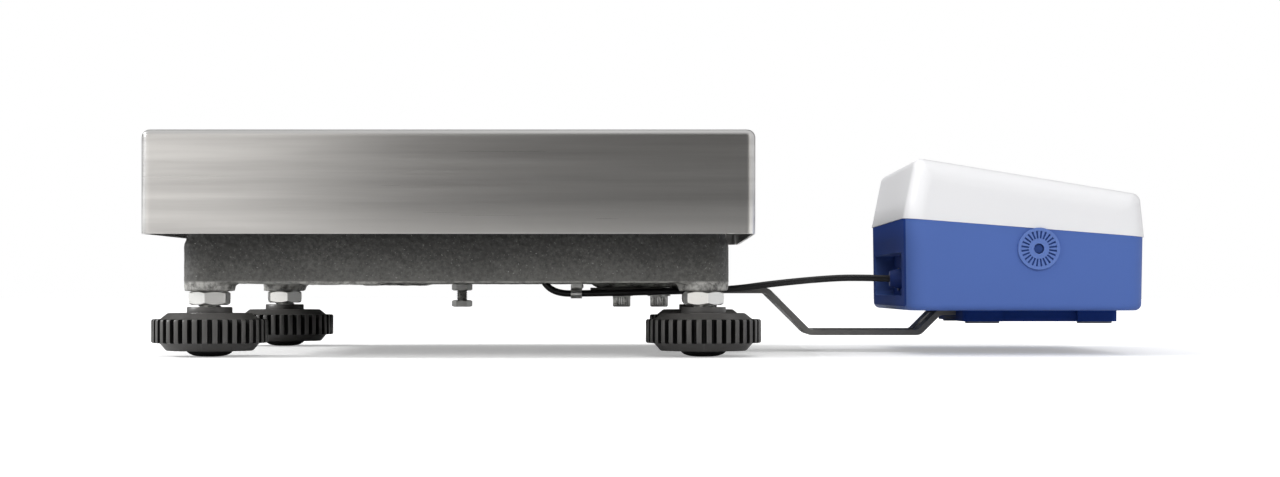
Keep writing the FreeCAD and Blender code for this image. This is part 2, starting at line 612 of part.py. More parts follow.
def display_bracket():
    """The bent strip: under the base, down, along, up, and a tab under the display."""
    piece = Piece("display_bracket")
    start, fold = "strip_start", "strip_fold"
    drop = "base_right + strip_drop"
    rise = "display_back + strip_rise"
    side = piece.sketch("XZ")
    top, low, tab = "strip_top", "(strip_low + strip_thick)", "display_low"
    foot_x = f"{drop} + (strip_top - strip_low - strip_thick)/tan(strip_turn)"
    end = "display_back + sole_start + strip_tab"
    climb = f"{rise} + (display_low - strip_low - strip_thick)/tan(strip_turn)"
    outline(side, [
        (start, top), (drop, top), (foot_x, low), (rise, low), (climb, tab), (end, tab),
        (end, f"{tab} - strip_thick"), (f"{climb} + {fold}", f"{tab} - strip_thick"),
        (f"{rise} + {fold}", "strip_low"), (f"{foot_x} - {fold}", "strip_low"),
        (f"{drop} - {fold}", f"{top} - strip_thick"), (start, f"{top} - strip_thick")])
    piece.pad(side, "strip_wide", middle=True)
    corners = [(drop, top), (f"{foot_x} - {fold}", "strip_low"), (f"{rise} + {fold}", "strip_low"),
               (climb, tab)]
    outer = [(number(x), number(z)) for x, z in corners]
    hollow = [(number(x), number(z)) for x, z in
              ((foot_x, low), (rise, low), (f"{drop} - {fold}", f"{top} - strip_thick"),
               (f"{climb} + {fold}", f"{tab} - strip_thick"))]

    def at(edge, spots):
        """Tell whether an edge crosses the strip at one of the spots."""
        box = edge.BoundBox
        return box.YLength > 1 and any(abs(box.XMin - x) + abs(box.XMax - x) + abs(box.ZMin - z)
                                       + abs(box.ZMax - z) < 0.01 for x, z in spots)

    piece.fillet(lambda edge: at(edge, outer), "strip_bend + strip_thick")
    piece.fillet(lambda edge: at(edge, hollow), "strip_bend")
    slot = piece.sketch(z="strip_low - 1")
    rounded(slot, f"{foot_x} + strip_slot_wide/2", f"{climb} - strip_thick/2",
            "-strip_slot_wide/2", "strip_slot_wide/2", "strip_slot_wide/2 - 0.01")
    piece.pocket(slot, "display_low - strip_low + 2", back=True)
    holes = piece.sketch(z="strip_top - strip_thick")
    for step in (0, 1):
        circle(holes, f"strip_screw_near - {step}*strip_screw_apart", "0", "screw_radius + thread_gap")
    piece.pocket(holes, "strip_thick", back=True)
    tabs = piece.sketch(z="display_low - strip_thick")
    for end_x, side_y in tab_spots():
        circle(tabs, end_x, side_y, "tab_screw + thread_gap")
    piece.pocket(tabs, "strip_thick", back=True)


def tab_spots():
    """The four screws that hold the foot plate and the strip's tab to the display."""
    return [(f"sole_at + {x}", f"{y}*strip_wide/3") for x in ("15", "sole_long - 26") for y in (-1, 1)]


def bracket_fixings():
    """The two cap screws of the strip, with a washer under each head."""
    screws = Piece("bracket_screws")
    washers = Piece("bracket_washers")
    heads = screws.sketch(z="strip_top - strip_thick - washer_thick")
    shanks = screws.sketch(z="strip_top - strip_thick - washer_thick")
    keys = screws.sketch(z="strip_top - strip_thick - washer_thick - cap_high")
    rings = washers.sketch(z="strip_top - strip_thick - washer_thick")
    for step in (0, 1):
        x = f"strip_screw_near - {step}*strip_screw_apart"
        circle(heads, x, "0", "cap_radius")
        circle(shanks, x, "0", "screw_radius")
        hexagon(keys, x, "0", "cap_radius")
        circle(rings, x, "0", "washer_radius")
        circle(rings, x, "0", "screw_radius + thread_gap")
    screws.pad(heads, "cap_high", back=True)
    screws.pad(shanks, "washer_thick + strip_thick + strip_boss + base_floor")
    screws.pocket(keys, "cap_high/2", back=True)
    washers.pad(rings, "washer_thick")


def display_shells():
    """The two moulded shells of the display, which meet on the tipped plane of the seam."""
    upper = Piece("upper_housing")
    side = upper.sketch("XZ")
    outline(side, [
        ("display_back", "seam_back"), ("display_front", "seam_front"),
        ("display_front - front_lean", "top_front"), ("display_back + back_lean", "top_back")])
    upper.pad(side, "display_wide", middle=True)
    upper.fillet(corner_edge, "display_corner")
    upper.fillet(lambda edge: on_plane(edge, "top_tilt", "top_mid_long", "top_mid_height"), "top_edge")
    core = Piece("upper_core", kept=False)
    side = core.sketch("XZ")
    outline(side, [
        ("display_back + display_wall", "seam_back - 2"),
        ("display_front - display_wall", "seam_front - 2"),
        ("display_front - front_lean - display_wall",
         "top_front + display_wall*tan(top_tilt) - display_wall/cos(top_tilt)"),
        ("display_back + back_lean + display_wall",
         "top_back - display_wall*tan(top_tilt) - display_wall/cos(top_tilt)")])
    core.pad(side, "display_wide - 2*display_wall", middle=True)
    core.fillet(corner_edge, "display_corner - display_wall")
    upper.less(core)
    posts = upper.sketch(**slope("-board_top"))
    for end in "-+":
        for side in "-+":
            circle(posts, f"{end}(board_long/2 - board_post - 1)", f"{side}(board_wide/2 - board_post - 1)",
                   "board_post")
    upper.pad(posts, "board_top - display_wall/2")
    for end in ("post_back", "post_front"):
        post = upper.sketch(z="post_joint")
        for side in "-+":
            circle(post, end, f"{side}post_side", "post_radius")
        upper.pad(post, f"top_mid_height - ({end} - top_mid_long)*tan(top_tilt) - display_wall - post_joint")
    holes = upper.sketch(z="post_joint")
    for end in ("post_back", "post_front"):
        for side in "-+":
            circle(holes, end, f"{side}post_side", "post_hole")
    upper.pocket(holes, "display_corner", back=True)
    recess = upper.sketch(**slope())
    rounded(recess, "-panel_long/2", "panel_long/2", "-panel_wide/2", "panel_wide/2", "panel_round")
    upper.pocket(recess, "panel_deep")
    cutout = upper.sketch(**slope())
    rounded(cutout, "window_at - window_long/2", "window_at + window_long/2", "-window_wide/2",
            "window_wide/2", "window_corner")
    for order in range(len(KEYS)):
        rounded(cutout, "key_at - key_long/2 - key_gap", "key_at + key_long/2 + key_gap",
                f"({order} - 2.5)*key_pitch - key_wide/2 - key_gap",
                f"({order} - 2.5)*key_pitch + key_wide/2 + key_gap", "key_corner + key_gap")
    upper.pocket(cutout, "display_wall + 1")

    lower = Piece("lower_housing")
    side = lower.sketch("XZ")
    outline(side, [
        ("display_back + draft_end", "display_low"), ("display_front - draft_end", "display_low"),
        ("display_front - seam_step", "seam_front + seam_step*tan(seam_tilt)"),
        ("display_back + seam_step", "seam_back - seam_step*tan(seam_tilt)")])
    lower.pad(side, "display_wide - 2*seam_step", middle=True)
    lower.fillet(corner_edge, "display_corner")
    lower.fillet(lambda edge: level(edge, number("display_low")), "bottom_edge")
    core = Piece("lower_core", kept=False)
    side = core.sketch("XZ")
    outline(side, [
        ("display_back + draft_end + display_wall", "display_low + display_wall"),
        ("display_front - draft_end - display_wall", "display_low + display_wall"),
        ("display_front - seam_step - display_wall", "seam_front + 2"),
        ("display_back + seam_step + display_wall", "seam_back + 2")])
    core.pad(side, "display_wide - 2*seam_step - 2*display_wall", middle=True)
    core.fillet(corner_edge, "display_corner - display_wall")
    lower.less(core)
    box = lower.sketch("YZ", z="display_back + display_wall/2 + draft_end")
    rectangle(box, "-recess_wide/2 - display_wall", "recess_wide/2 + display_wall",
              "recess_low - display_wall", "recess_low + recess_high + display_wall")
    lower.pad(box, "recess_deep + display_wall/2 - draft_end")
    recess = lower.sketch("YZ", z="display_back - display_wall")
    rounded(recess, "-recess_wide/2", "recess_wide/2", "recess_low", "recess_low + recess_high", "3")
    lower.pocket(recess, "recess_deep + display_wall", back=True)
    posts = lower.sketch(z="display_low + display_wall/2")
    holes = lower.sketch(z="display_low")
    heads = lower.sketch(z="display_low")
    for end in ("post_back", "post_front"):
        for side in "-+":
            circle(posts, end, f"{side}post_side", "post_radius")
            circle(holes, end, f"{side}post_side", "post_hole + thread_gap")
            circle(heads, end, f"{side}post_side", "2*post_hole + thread_gap")
    lower.pad(posts, "post_joint - display_low - display_wall/2")
    lower.pocket(holes, "post_joint - display_low", back=True)
    lower.pocket(heads, "2*post_hole", back=True)
    for side in (-1, 1):
        rosette(lower, side)
    wall = lower.sketch("YZ", z="recess_wall - 1")
    circle(wall, "-cable_side + 1", "gland_height", "gland_thread + thread_gap")
    circle(wall, "inlet_side", "gland_height", "inlet_radius + thread_gap")
    lower.pocket(wall, "display_wall + 2", back=True)
    holes = lower.sketch(z="display_low")
    for x, y in tab_spots():
        circle(holes, x, y, "tab_screw")
    bosses = lower.sketch(z="display_low + display_wall/2")
    for x, y in tab_spots():
        circle(bosses, x, y, "2.2*tab_screw")
    lower.pad(bosses, "display_wall/2 + 3*tab_screw")
    lower.pocket(holes, "display_wall + 2.5*tab_screw", back=True)


def rosette(lower, side):
    """The toothed boss on one side of the display, where a swivel stand would clamp."""
    flip = side > 0
    out = f"{side}*(display_wide/2 - seam_step)"
    place = {"x": "rosette_at", "y": "rosette_height"}
    boss = lower.sketch("XZ", z=f"-({out}) - {-side}*(rosette_deep + 2)", **place)
    circle(boss, "0", "0", "rosette_boss")
    lower.pad(boss, "rosette_deep + 1.5", back=flip)
    ring = lower.sketch("XZ", z=f"-({out}) - {-side}*1.5", **place)
    circle(ring, "0", "0", "rosette_ring")
    circle(ring, "0", "0", "rosette_teeth_out")
    lower.pad(ring, "rosette_proud + 1.5", back=flip)
    disc = lower.sketch("XZ", z=f"-({out}) - {-side}*1.5", **place)
    circle(disc, "0", "0", "rosette_teeth_out + 0.1")
    lower.pad(disc, "rosette_proud + 1.5 - rosette_tooth", back=flip)
    hub = lower.sketch("XZ", z=f"-({out}) - {-side}*1", **place)
    circle(hub, "0", "0", "rosette_teeth_in")
    lower.pad(hub, "rosette_proud + 1 - 0.2", back=flip)
    tooth = lower.sketch("XZ", z=f"-({out}) - {-side}*(rosette_proud - rosette_tooth - 0.1)*-1", **place)
    outline(tooth, [("rosette_teeth_in - 0.2", "-0.25"), ("rosette_teeth_out + 0.2", "-0.75"),
                    ("rosette_teeth_out + 0.2", "0.75"), ("rosette_teeth_in - 0.2", "0.25")])
    first = lower.pad(tooth, "rosette_tooth - 0.1", back=flip)
    lower.around(first, (tooth, ["N_Axis"]), "rosette_count")
    hole = lower.sketch("XZ", z=f"-({out}) - {side}*(rosette_proud + 1)", **place)
    circle(hole, "0", "0", "rosette_hole")
    lower.pocket(hole, "rosette_deep + rosette_proud + 1", back=flip)


def housing_screws():
    """The four screws that draw the shells together from below."""
    piece = Piece("housing_screws")
    shanks = piece.sketch(z="display_low + 2*post_hole")
    heads = piece.sketch(z="display_low + 2*post_hole")
    for end in ("post_back", "post_front"):
        for side in "-+":
            circle(shanks, end, f"{side}post_side", "post_hole")
            circle(heads, end, f"{side}post_side", "2*post_hole")
    piece.pad(shanks, "post_joint - display_low - 2*post_hole + 8")
    piece.pad(heads, "post_hole*1.5", back=True)


def panel():
    """The overlay on the sloping top, with the window, the keys and what lies under them."""
    overlay = Piece("front_panel").place(y="0", **slope("-panel_deep"))
    flat = overlay.sketch()
    rounded(flat, "-panel_long/2 + overlay_gap", "panel_long/2 - overlay_gap",
            "-panel_wide/2 + overlay_gap", "panel_wide/2 - overlay_gap", "panel_round - overlay_gap")
    rounded(flat, "window_at - window_long/2", "window_at + window_long/2", "-window_wide/2",
            "window_wide/2", "window_corner")
    for order in range(len(KEYS)):
        rounded(flat, "key_at - key_long/2 - key_gap", "key_at + key_long/2 + key_gap",
                f"({order} - 2.5)*key_pitch - key_wide/2 - key_gap",
                f"({order} - 2.5)*key_pitch + key_wide/2 + key_gap", "key_corner + key_gap")
    overlay.pad(flat, "overlay_thick")

    glass = Piece("lcd_window").place(y="0", **slope("-display_wall"))
    pane = glass.sketch()
    rounded(pane, "window_at - window_long/2 + thread_gap", "window_at + window_long/2 - thread_gap",
            "-window_wide/2 + thread_gap", "window_wide/2 - thread_gap", "window_corner - thread_gap")
    glass.pad(pane, "display_wall - panel_deep + overlay_thick")

    module = Piece("lcd_module").place(y="0", **slope("-board_top"))
    block = module.sketch()
    rectangle(block, "window_at - window_long/2 - module_gap", "window_at + window_long/2 + module_gap",
              "-window_wide/2 - module_gap", "window_wide/2 + module_gap")
    module.pad(block, "board_top - display_wall")

    board = Piece("circuit_board").place(y="0", **slope("-board_top - board_thick"))
    card = board.sketch()
    rounded(card, "-board_long/2", "board_long/2", "-board_wide/2", "board_wide/2", "module_gap")
    for end in "-+":
        for side in "-+":
            circle(card, f"{end}(board_long/2 - board_post - 1)", f"{side}(board_wide/2 - board_post - 1)",
                   "board_screw + thread_gap")
    board.pad(card, "board_thick")

    switches = Piece("key_switches").place(y="0", **slope("-board_top"))
    cans = switches.sketch()
    for order in range(len(KEYS)):
        rectangle(cans, "key_at - switch_side/2", "key_at + switch_side/2",
                  f"({order} - 2.5)*key_pitch - switch_side/2", f"({order} - 2.5)*key_pitch + switch_side/2")
    switches.pad(cans, "switch_high")

    for order, name in enumerate(KEYS):
        key = Piece(f"key_{name}").place(y=f"({order} - 2.5)*key_pitch",
                                         x="top_mid_long + key_at*cos(top_tilt)",
                                         z="top_mid_height - key_at*sin(top_tilt)", turn="top_tilt")
        cap = key.sketch(z="-display_wall")
        rounded(cap, "-key_long/2", "key_long/2", "-key_wide/2", "key_wide/2", "key_corner")
        key.pad(cap, "display_wall - panel_deep + overlay_thick + key_proud")
        rim = key.sketch(z="-display_wall - 0.1 - key_rim_thick")
        rounded(rim, "-key_long/2 - key_rim", "key_long/2 + key_rim", "-key_wide/2 - key_rim",
                "key_wide/2 + key_rim", "key_corner + key_rim")
        key.pad(rim, "key_rim_thick")
        neck = key.sketch(z="-display_wall - 0.1")
        rounded(neck, "-key_long/2", "key_long/2", "-key_wide/2", "key_wide/2", "key_corner")
        key.pad(neck, "0.2")
        top = number("key_proud + overlay_thick - panel_deep")
        key.fillet(lambda edge: level(edge, top), "key_proud/2")


def battery_pack():
    """The sealed battery on the floor of the display."""
    piece = Piece("battery_pack")
    block = piece.sketch(z="display_low + display_wall")
    rounded(block, "display_back + battery_start", "display_back + battery_start + battery_long",
            "battery_side", "battery_side + battery_wide", "strip_gap*10")
    piece.pad(block, "battery_high")


def foot_plate():
    """The foot plate under the display, channelled for the strip's tab, with rubber pads."""
    plate = Piece("display_foot_plate")
    flat = plate.sketch(z="sole_low")
    rounded(flat, "sole_at", "sole_at + sole_long", "-sole_wide/2", "sole_wide/2", "4")
    plate.pad(flat, "sole_drop")
    channel = plate.sketch(z="display_low - strip_thick")
    rectangle(channel, "sole_at - 1", "sole_at + strip_tab + strip_gap", "-strip_wide/2 - strip_gap",
              "strip_wide/2 + strip_gap")
    plate.pocket(channel, "strip_thick + 1", back=True)
    notch = plate.sketch(z="sole_low")
    for side in (-1, 1):
        low, high = sorted((f"{side}*(sole_wide/2 - sole_notch_deep)", f"{side}*(sole_wide/2 + 1)"),
                           key=number)
        rectangle(notch, "sole_at + (sole_long - sole_notch)/2", "sole_at + (sole_long + sole_notch)/2",
                  low, high)
    plate.pocket(notch, "sole_drop", back=True)
    screws = Piece("foot_plate_screws")
    holes = plate.sketch(z="sole_low")
    sinks = plate.sketch(z="sole_low")
    heads = screws.sketch(z="sole_low + tab_screw_deep")
    shanks = screws.sketch(z="sole_low + tab_screw_deep")
    for x, y in tab_spots():
        circle(holes, x, y, "tab_screw + thread_gap")
        circle(sinks, x, y, "tab_screw_head + thread_gap")
        circle(heads, x, y, "tab_screw_head")
        circle(shanks, x, y, "tab_screw - 0.05")
    plate.pocket(holes, "sole_drop", back=True)
    plate.pocket(sinks, "tab_screw_deep", back=True)
    screws.pad(heads, "tab_screw_deep - 0.3", back=True)
    screws.pad(shanks, "sole_drop - tab_screw_deep + display_wall + 2*tab_screw")
    pads = Piece("display_pads")
    feet = pads.sketch(z="sole_low")
    for left in ("sole_at + pad_inset", "sole_at + sole_long - pad_inset - pad_long"):
        for low in ("-sole_wide/2 + pad_inset", "sole_wide/2 - pad_inset - pad_wide"):
            rounded(feet, left, f"{left} + pad_long", low, f"{low} + pad_wide", "2")
    pads.pad(feet, "pad_thick", back=True)


def cable_fixings():
    """The clip under the spine, its screw, the gland in the recess and the supply inlet."""
    clip = Piece("cable_clip")
    middle, drop = "-cable_side", "(base_low - clip_drop)"
    inner, outer = "(cable_radius + cable_gap)", "(cable_radius + cable_gap + clip_sheet)"
    start = "base_mid + clip_at - clip_wide/2"
    loop = clip.sketch("YZ", z=start)
    circle(loop, middle, drop, outer)
    circle(loop, middle, drop, inner)
    clip.pad(loop, "clip_wide")
    leg = clip.sketch("YZ", z=start)
    outline(leg, [(f"{middle} + {inner}", drop), (f"{middle} + {outer}", drop),
                  (f"{middle} + {outer}", "base_low - clip_sheet"),
                  ("-clip_end", "base_low - clip_sheet"), ("-clip_end", "base_low"),
                  (f"{middle} + {inner}", "base_low")])
    clip.pad(leg, "clip_wide")
    hole = clip.sketch(z="base_low - clip_sheet")
    spot = ("base_mid + clip_at", "-clip_hole")
    circle(hole, *spot, "clip_screw + thread_gap")
    clip.pocket(hole, "clip_sheet", back=True)
    screw = Piece("clip_screw")
    head = screw.sketch(z="base_low - clip_sheet")
    circle(head, *spot, "clip_head")
    screw.pad(head, "clip_screw", back=True)
    shank = screw.sketch(z="base_low - clip_sheet")
    circle(shank, *spot, "clip_screw")
    screw.pad(shank, "clip_sheet + base_floor")
    screw.fillet(lambda edge: level(edge, number("base_low - clip_sheet - clip_screw")), "clip_screw/2")

    gland = Piece("cable_gland").place("recess_wall", "-cable_side + 1", "gland_height")
    nose = gland.sketch("XZ")
    outline(nose, [("cable_radius + cable_gap", "-recess_deep - 1"),
                   ("gland_nose", "-recess_deep - 1"), ("gland_nose + 0.8", "-recess_deep + 2"),
                   ("gland_radius - 1", "-gland_flange - 1"), ("gland_radius - 1", "-gland_flange"),
                   ("gland_radius", "-gland_flange"), ("gland_radius", "0"), ("gland_thread", "0"),
                   ("gland_thread", "display_wall + gland_nut_thick + 1"),
                   ("cable_radius + cable_gap", "display_wall + gland_nut_thick + 1")])
    gland.turned(nose)
    gland.body.Placement = Placement(Vector(), Rotation(Vector(0, 1, 0), 90))
    nut = Piece("gland_nut").place("recess_wall + display_wall", "-cable_side + 1", "gland_height")
    flats = nut.sketch("YZ")
    hexagon(flats, "0", "0", "gland_nut_across")
    circle(flats, "0", "0", "gland_thread + thread_gap")
    nut.pad(flats, "gland_nut_thick")

    inlet = Piece("supply_inlet").place("recess_wall", "inlet_side", "gland_height")
    barrel = inlet.sketch("YZ", z="-1")
    circle(barrel, "0", "0", "inlet_radius")
    inlet.pad(barrel, "inlet_deep + 1")
    collar = inlet.sketch("YZ", z="-1")
    circle(collar, "0", "0", "inlet_radius + 1")
    inlet.pad(collar, "1")
    bore = inlet.sketch("YZ", z="-1")
    circle(bore, "0", "0", "inlet_bore")
    circle(bore, "0", "0", "inlet_pin")
    inlet.pocket(bore, "inlet_deep", back=True)


CABLE = [
    (-62, -12.5, 64), (-62, -38, 64), (-62, -38, 31.9), (-29, -38, 32.2), (9, -38, 33.3),
    (42, -38.2, 34.2), (66, -38.4, 37.6), (98, -37.8, 40.6), (116, -37.2, 40.7),
    (128, -37, 40.2), (139, -37, 40.2),
]


def cable():
    """The cable from the cell down through a window, under the base and across to the gland."""
    points = [Vector(*point) for point in CABLE]
    parts, start = [], points[0]
    for before, corner, after in zip(points, points[1:], points[2:]):
        into, out = (corner - before).normalize(), (after - corner).normalize()
        turn = into.getAngle(out)
        reach = 0.45*min((corner - before).Length, (after - corner).Length)
        radius = reach/math.tan(turn/2)
        print(f"cable bend {math.degrees(turn):5.1f} degrees, radius {radius:6.1f}")
        first, last = corner - into*reach, corner + out*reach
        middle = (out - into).normalize()
        centre = corner + middle*(radius/math.cos(turn/2))
        parts.append(Part.LineSegment(start, first).toShape())
        parts.append(Part.Arc(first, centre - middle*radius, last).toShape())
        start = last
    parts.append(Part.LineSegment(start, points[-1]).toShape())
    path = Part.Wire(parts)
    ring = Part.Wire(Part.Circle(points[0], points[1] - points[0], number("cable_radius")).toShape())
    tube = path.makePipeShell([ring], True, False)
    expected = path.Length*math.pi*number("cable_radius")**2
    print(f"cable length {path.Length:.1f}, volume {tube.Volume:.0f} against {expected:.0f}")
    feature = doc.addObject("Part::Feature", "load_cell_cable")
    feature.Label = "load_cell_cable"
    feature.Shape = tube
    PIECES.append(feature)


KEYS = ("power", "zero", "tare", "units", "count", "print")

weighing_plate()
base_frame()
lock_nuts()
for order, (x, y) in enumerate(four("foot_span_long/2", "foot_span_wide/2"), start=1):
    foot(order, x, y)
load_cell()
spacer("cell_floor_spacer", "+", "base_deck")
spacer("cell_carrier_spacer", "-", "cell_top")
cell_screws()
carrier_frame()
rubber_buffers()
overload_stop()
display_bracket()
bracket_fixings()
display_shells()
housing_screws()
panel()
battery_pack()
foot_plate()
cable_fixings()
cable()

doc.recompute()
for thing in doc.Objects:
    if "Invalid" in thing.State or "Error" in thing.State:
        raise ValueError(f"{thing.Label} did not recompute")
os.makedirs("parts", exist_ok=True)
for piece in PIECES:
    if piece.Shape.isNull() or not piece.Shape.isValid():
        raise ValueError(f"{piece.Label} has no valid shape")
    piece.Shape.exportStep(f"parts/{piece.Label}.step")
print(f"{len(PIECES)} pieces")
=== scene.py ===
"""Looks of a bench platform scale: a weighing plate on a cast base, with its display beside it."""
import logging
import math
from dataclasses import dataclass, field
from enum import Enum
from typing import Callable, Sequence

import bmesh
import bpy
from mathutils import Matrix, Vector, noise


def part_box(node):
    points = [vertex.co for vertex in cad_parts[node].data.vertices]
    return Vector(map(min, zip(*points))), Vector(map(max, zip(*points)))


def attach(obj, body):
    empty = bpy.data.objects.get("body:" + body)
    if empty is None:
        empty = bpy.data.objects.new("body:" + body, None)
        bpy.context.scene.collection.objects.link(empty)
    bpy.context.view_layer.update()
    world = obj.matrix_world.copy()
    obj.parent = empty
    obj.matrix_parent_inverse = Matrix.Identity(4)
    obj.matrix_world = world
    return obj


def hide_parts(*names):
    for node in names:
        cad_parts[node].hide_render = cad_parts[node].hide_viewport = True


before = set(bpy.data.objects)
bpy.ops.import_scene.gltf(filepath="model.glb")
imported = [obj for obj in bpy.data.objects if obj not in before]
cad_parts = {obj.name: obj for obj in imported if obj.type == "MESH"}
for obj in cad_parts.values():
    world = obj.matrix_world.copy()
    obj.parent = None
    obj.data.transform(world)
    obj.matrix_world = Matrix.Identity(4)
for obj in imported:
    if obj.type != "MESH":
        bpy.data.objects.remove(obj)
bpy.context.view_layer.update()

LOG = logging.getLogger("platform_scale")
MM = 0.001
CORNERS = ((-1, -1), (1, -1), (1, 1), (-1, 1))

# Nuts and threads: columns round, rows to a turn, and shares of the width or of the pitch
NUT_COLUMNS = 72
NUT_SMOOTH = 25.0
BEVEL_START = 0.475
BEVEL_SLOPE = 1.9
THREAD_COLUMNS = 40
THREAD_ROWS = 6
THREAD_DEPTH = 0.55

Point2 = tuple[float, float]
Point3 = tuple[float, float, float]
Loop = list[Vector]
Material = bpy.types.Material
Node = bpy.types.Node
Socket = bpy.types.NodeSocket
Thing = bpy.types.Object
Tree = bpy.types.NodeTree


class Grain(Enum):
    """Which way the brushing runs on a sheet."""

    ALONG_X = "X"
    ALONG_Y = "Y"


def solid(colour: Point3, gain: float = 1.0) -> tuple[float, float, float, float]:
    """Give a colour its full alpha, and make it brighter by a gain."""
    red, green, blue = [min(1.0, share*gain) for share in colour]
    return red, green, blue, 1.0


class Wiring:
    """Short calls for the nodes of one tree."""

    def __init__(self, tree: Tree) -> None:
        """Take the tree that the nodes go in."""
        self.tree = tree

    def feed(self, target: Socket, value: object) -> None:
        """Link an input to a socket, or set it.

        Args:
            target: the input.
            value: a socket, a number or a colour.
        """
        if isinstance(value, Socket):
            self.tree.links.new(value, target)
        else:
            target.default_value = value

    def fill(self, found: Node, **values: object) -> Node:
        """Feed a node's inputs by name.

        Args:
            found: the node.
            values: sockets, numbers or colours by name, with a low line for a space.

        Returns:
            The same node.
        """
        for key, value in values.items():
            self.feed(found.inputs[key.replace("_", " ")], value)
        return found

    def node(self, kind: str, *values: object, **settings: object) -> Node:
        """Add a node.

        Args:
            kind: its type, in Blender's words.
            values: sockets or numbers for its first inputs.
            settings: its own properties.

        Returns:
            The node.
        """
        found = self.tree.nodes.new(f"ShaderNode{kind}")
        for key, value in settings.items():
            setattr(found, key, value)
        for socket, value in zip(found.inputs, values):
            self.feed(socket, value)
        return found

    def maths(self, operation: str, *values: object, clamp: bool = False) -> Socket:
        """Work out one operation on sockets or numbers, kept between 0 and 1 if it's clamped."""
        return self.node("Math", *values, operation=operation, use_clamp=clamp).outputs[0]

    def mix(self, factor: object, first: object, second: object) -> Socket:
        """Mix two colours.

        Args:
            factor: a socket or a number from 0 to 1.
            first: a socket or a colour.
            second: a socket or a colour.

        Returns:
            The mixed colour's socket.
        """
        found = self.node("Mix", factor, data_type="RGBA")
        self.feed(found.inputs[6], first)
        self.feed(found.inputs[7], second)
        return found.outputs[2]

    def spread(self, value: Socket, low: float, high: float, start: float = 0.0,
               end: float = 1.0) -> Socket:
        """Spread a value from low to high while it goes from start to end."""
        return self.node("MapRange", value, start, end, low, high).outputs[0]

    def noise(self, vector: Socket, scale: object, detail: float, roughness: float = 0.5) -> Socket:
        """Sample noise of a scale, with a number of octaves and a strength for the finer ones."""
        return self.fill(self.node("TexNoise"), Vector=vector, Scale=scale, Detail=detail,
                         Roughness=roughness).outputs[0]

    def place(self) -> Socket:
        """Find a point's place on the object, in metres."""
        return self.node("TexCoord").outputs["Object"]

    def part(self, vector: Socket, axis: int) -> Socket:
        """Take one of a vector's three numbers, by axis 0, 1 or 2."""
        return self.node("SeparateXYZ", vector).outputs[axis]


class SharedGroup(Wiring):
    """A node group that several finishes share, with named inputs and outputs."""

    def __init__(self, name: str, takes: dict[str, object], gives: Sequence[str]) -> None:
        """Make the empty group.

        Args:
            name: the group's name.
            takes: what each input holds when nothing is linked, a number or a colour.
            gives: the outputs, of which "Colour" is a colour and the others are numbers.
        """
        super().__init__(bpy.data.node_groups.new(name, "ShaderNodeTree"))
        for key, value in takes.items():
            kind = "NodeSocketFloat" if isinstance(value, float) else "NodeSocketColor"
            socket = self.tree.interface.new_socket(key, in_out="INPUT", socket_type=kind)
            socket.default_value = value
        for key in gives:
            kind = "NodeSocketColor" if key == "Colour" else "NodeSocketFloat"
            self.tree.interface.new_socket(key, in_out="OUTPUT", socket_type=kind)
        self.taken = self.tree.nodes.new("NodeGroupInput").outputs
        self.leave = self.tree.nodes.new("NodeGroupOutput")

    def give(self, **values: Socket) -> Tree:
        """Feed the outputs by name, and give the finished group."""
        self.fill(self.leave, **values)
        return self.tree


def brushed_group() -> Tree:
    """Fine parallel lines of brushed sheet, level on the skirts and along X on top.

    Returns:
        The group, with outputs Streak, Cloud and Height.
    """
    group = SharedGroup("brushed_lines", {"Fineness": 900.0, "Length": 5.0},
                        ("Streak", "Cloud", "Height"))
    place = group.place()
    upright = group.part(group.node("NewGeometry").outputs["True Normal"], 2)
    on_top = group.maths("GREATER_THAN", group.maths("ABSOLUTE", upright), 0.7)

    def lines(along: object, across_skirt: object, across_top: object) -> Socket:
        """Draw noise out along the sheet.

        Args:
            along: its scale along the brushing.
            across_skirt: its scale across the brushing of the skirts.
            across_top: its scale across the brushing of the top.

        Returns:
            The noise value's socket.
        """
        values = []
        for scales in ((along, along, across_skirt), (along, across_top, along)):
            drawn = group.node("VectorMath", place, group.node("CombineXYZ", *scales).outputs[0],
                               operation="MULTIPLY")
            values.append(group.noise(drawn.outputs[0], 1.0, 3.0, 0.6))
        on_skirt = group.maths("MULTIPLY", values[0], group.maths("SUBTRACT", 1.0, on_top))
        return group.maths("MULTIPLY_ADD", values[1], on_top, on_skirt)

    fine = group.taken["Fineness"]
    streak = lines(group.taken["Length"], fine, fine)
    return group.give(Streak=streak, Height=streak, Cloud=lines(5.5, 165.0, 120.0))


def grain_group() -> Tree:
    """Fine moulded or painted grain.

    Returns:
        The group, with outputs Grain, Cloud and Height.
    """
    group = SharedGroup("fine_grain", {"Scale": 1500.0}, ("Grain", "Cloud", "Height"))
    place = group.place()
    grain = group.noise(place, group.taken["Scale"], 2.0, 0.55)
    return group.give(Grain=grain, Height=grain, Cloud=group.noise(place, 22.0, 3.0))


def hammered_group() -> Tree:
    """Hammered paint on a rough casting, with fine bright specks.

    Returns:
        The group, with outputs Speck, Cloud, Height and Mottle.
    """
    group = SharedGroup("hammered_paint", {"Cell": 420.0, "Speck Scale": 900.0},
                        ("Speck", "Cloud", "Height", "Mottle"))
    place = group.place()
    cells = group.fill(group.node("TexVoronoi", feature="SMOOTH_F1"), Vector=place,
                       Scale=group.taken["Cell"])
    specks = group.noise(place, group.taken["Speck Scale"], 2.0, 0.7)
    return group.give(
        Speck=group.maths("MULTIPLY", group.maths("SUBTRACT", specks, 0.645), 7.0, clamp=True),
        Cloud=group.noise(place, 30.0, 4.0, 0.6),
        Height=group.maths("MULTIPLY_ADD", cells.outputs["Distance"], 0.6,
                           group.noise(place, 130.0, 5.0, 0.65)),
        Mottle=group.noise(place, 520.0, 3.0, 0.75))


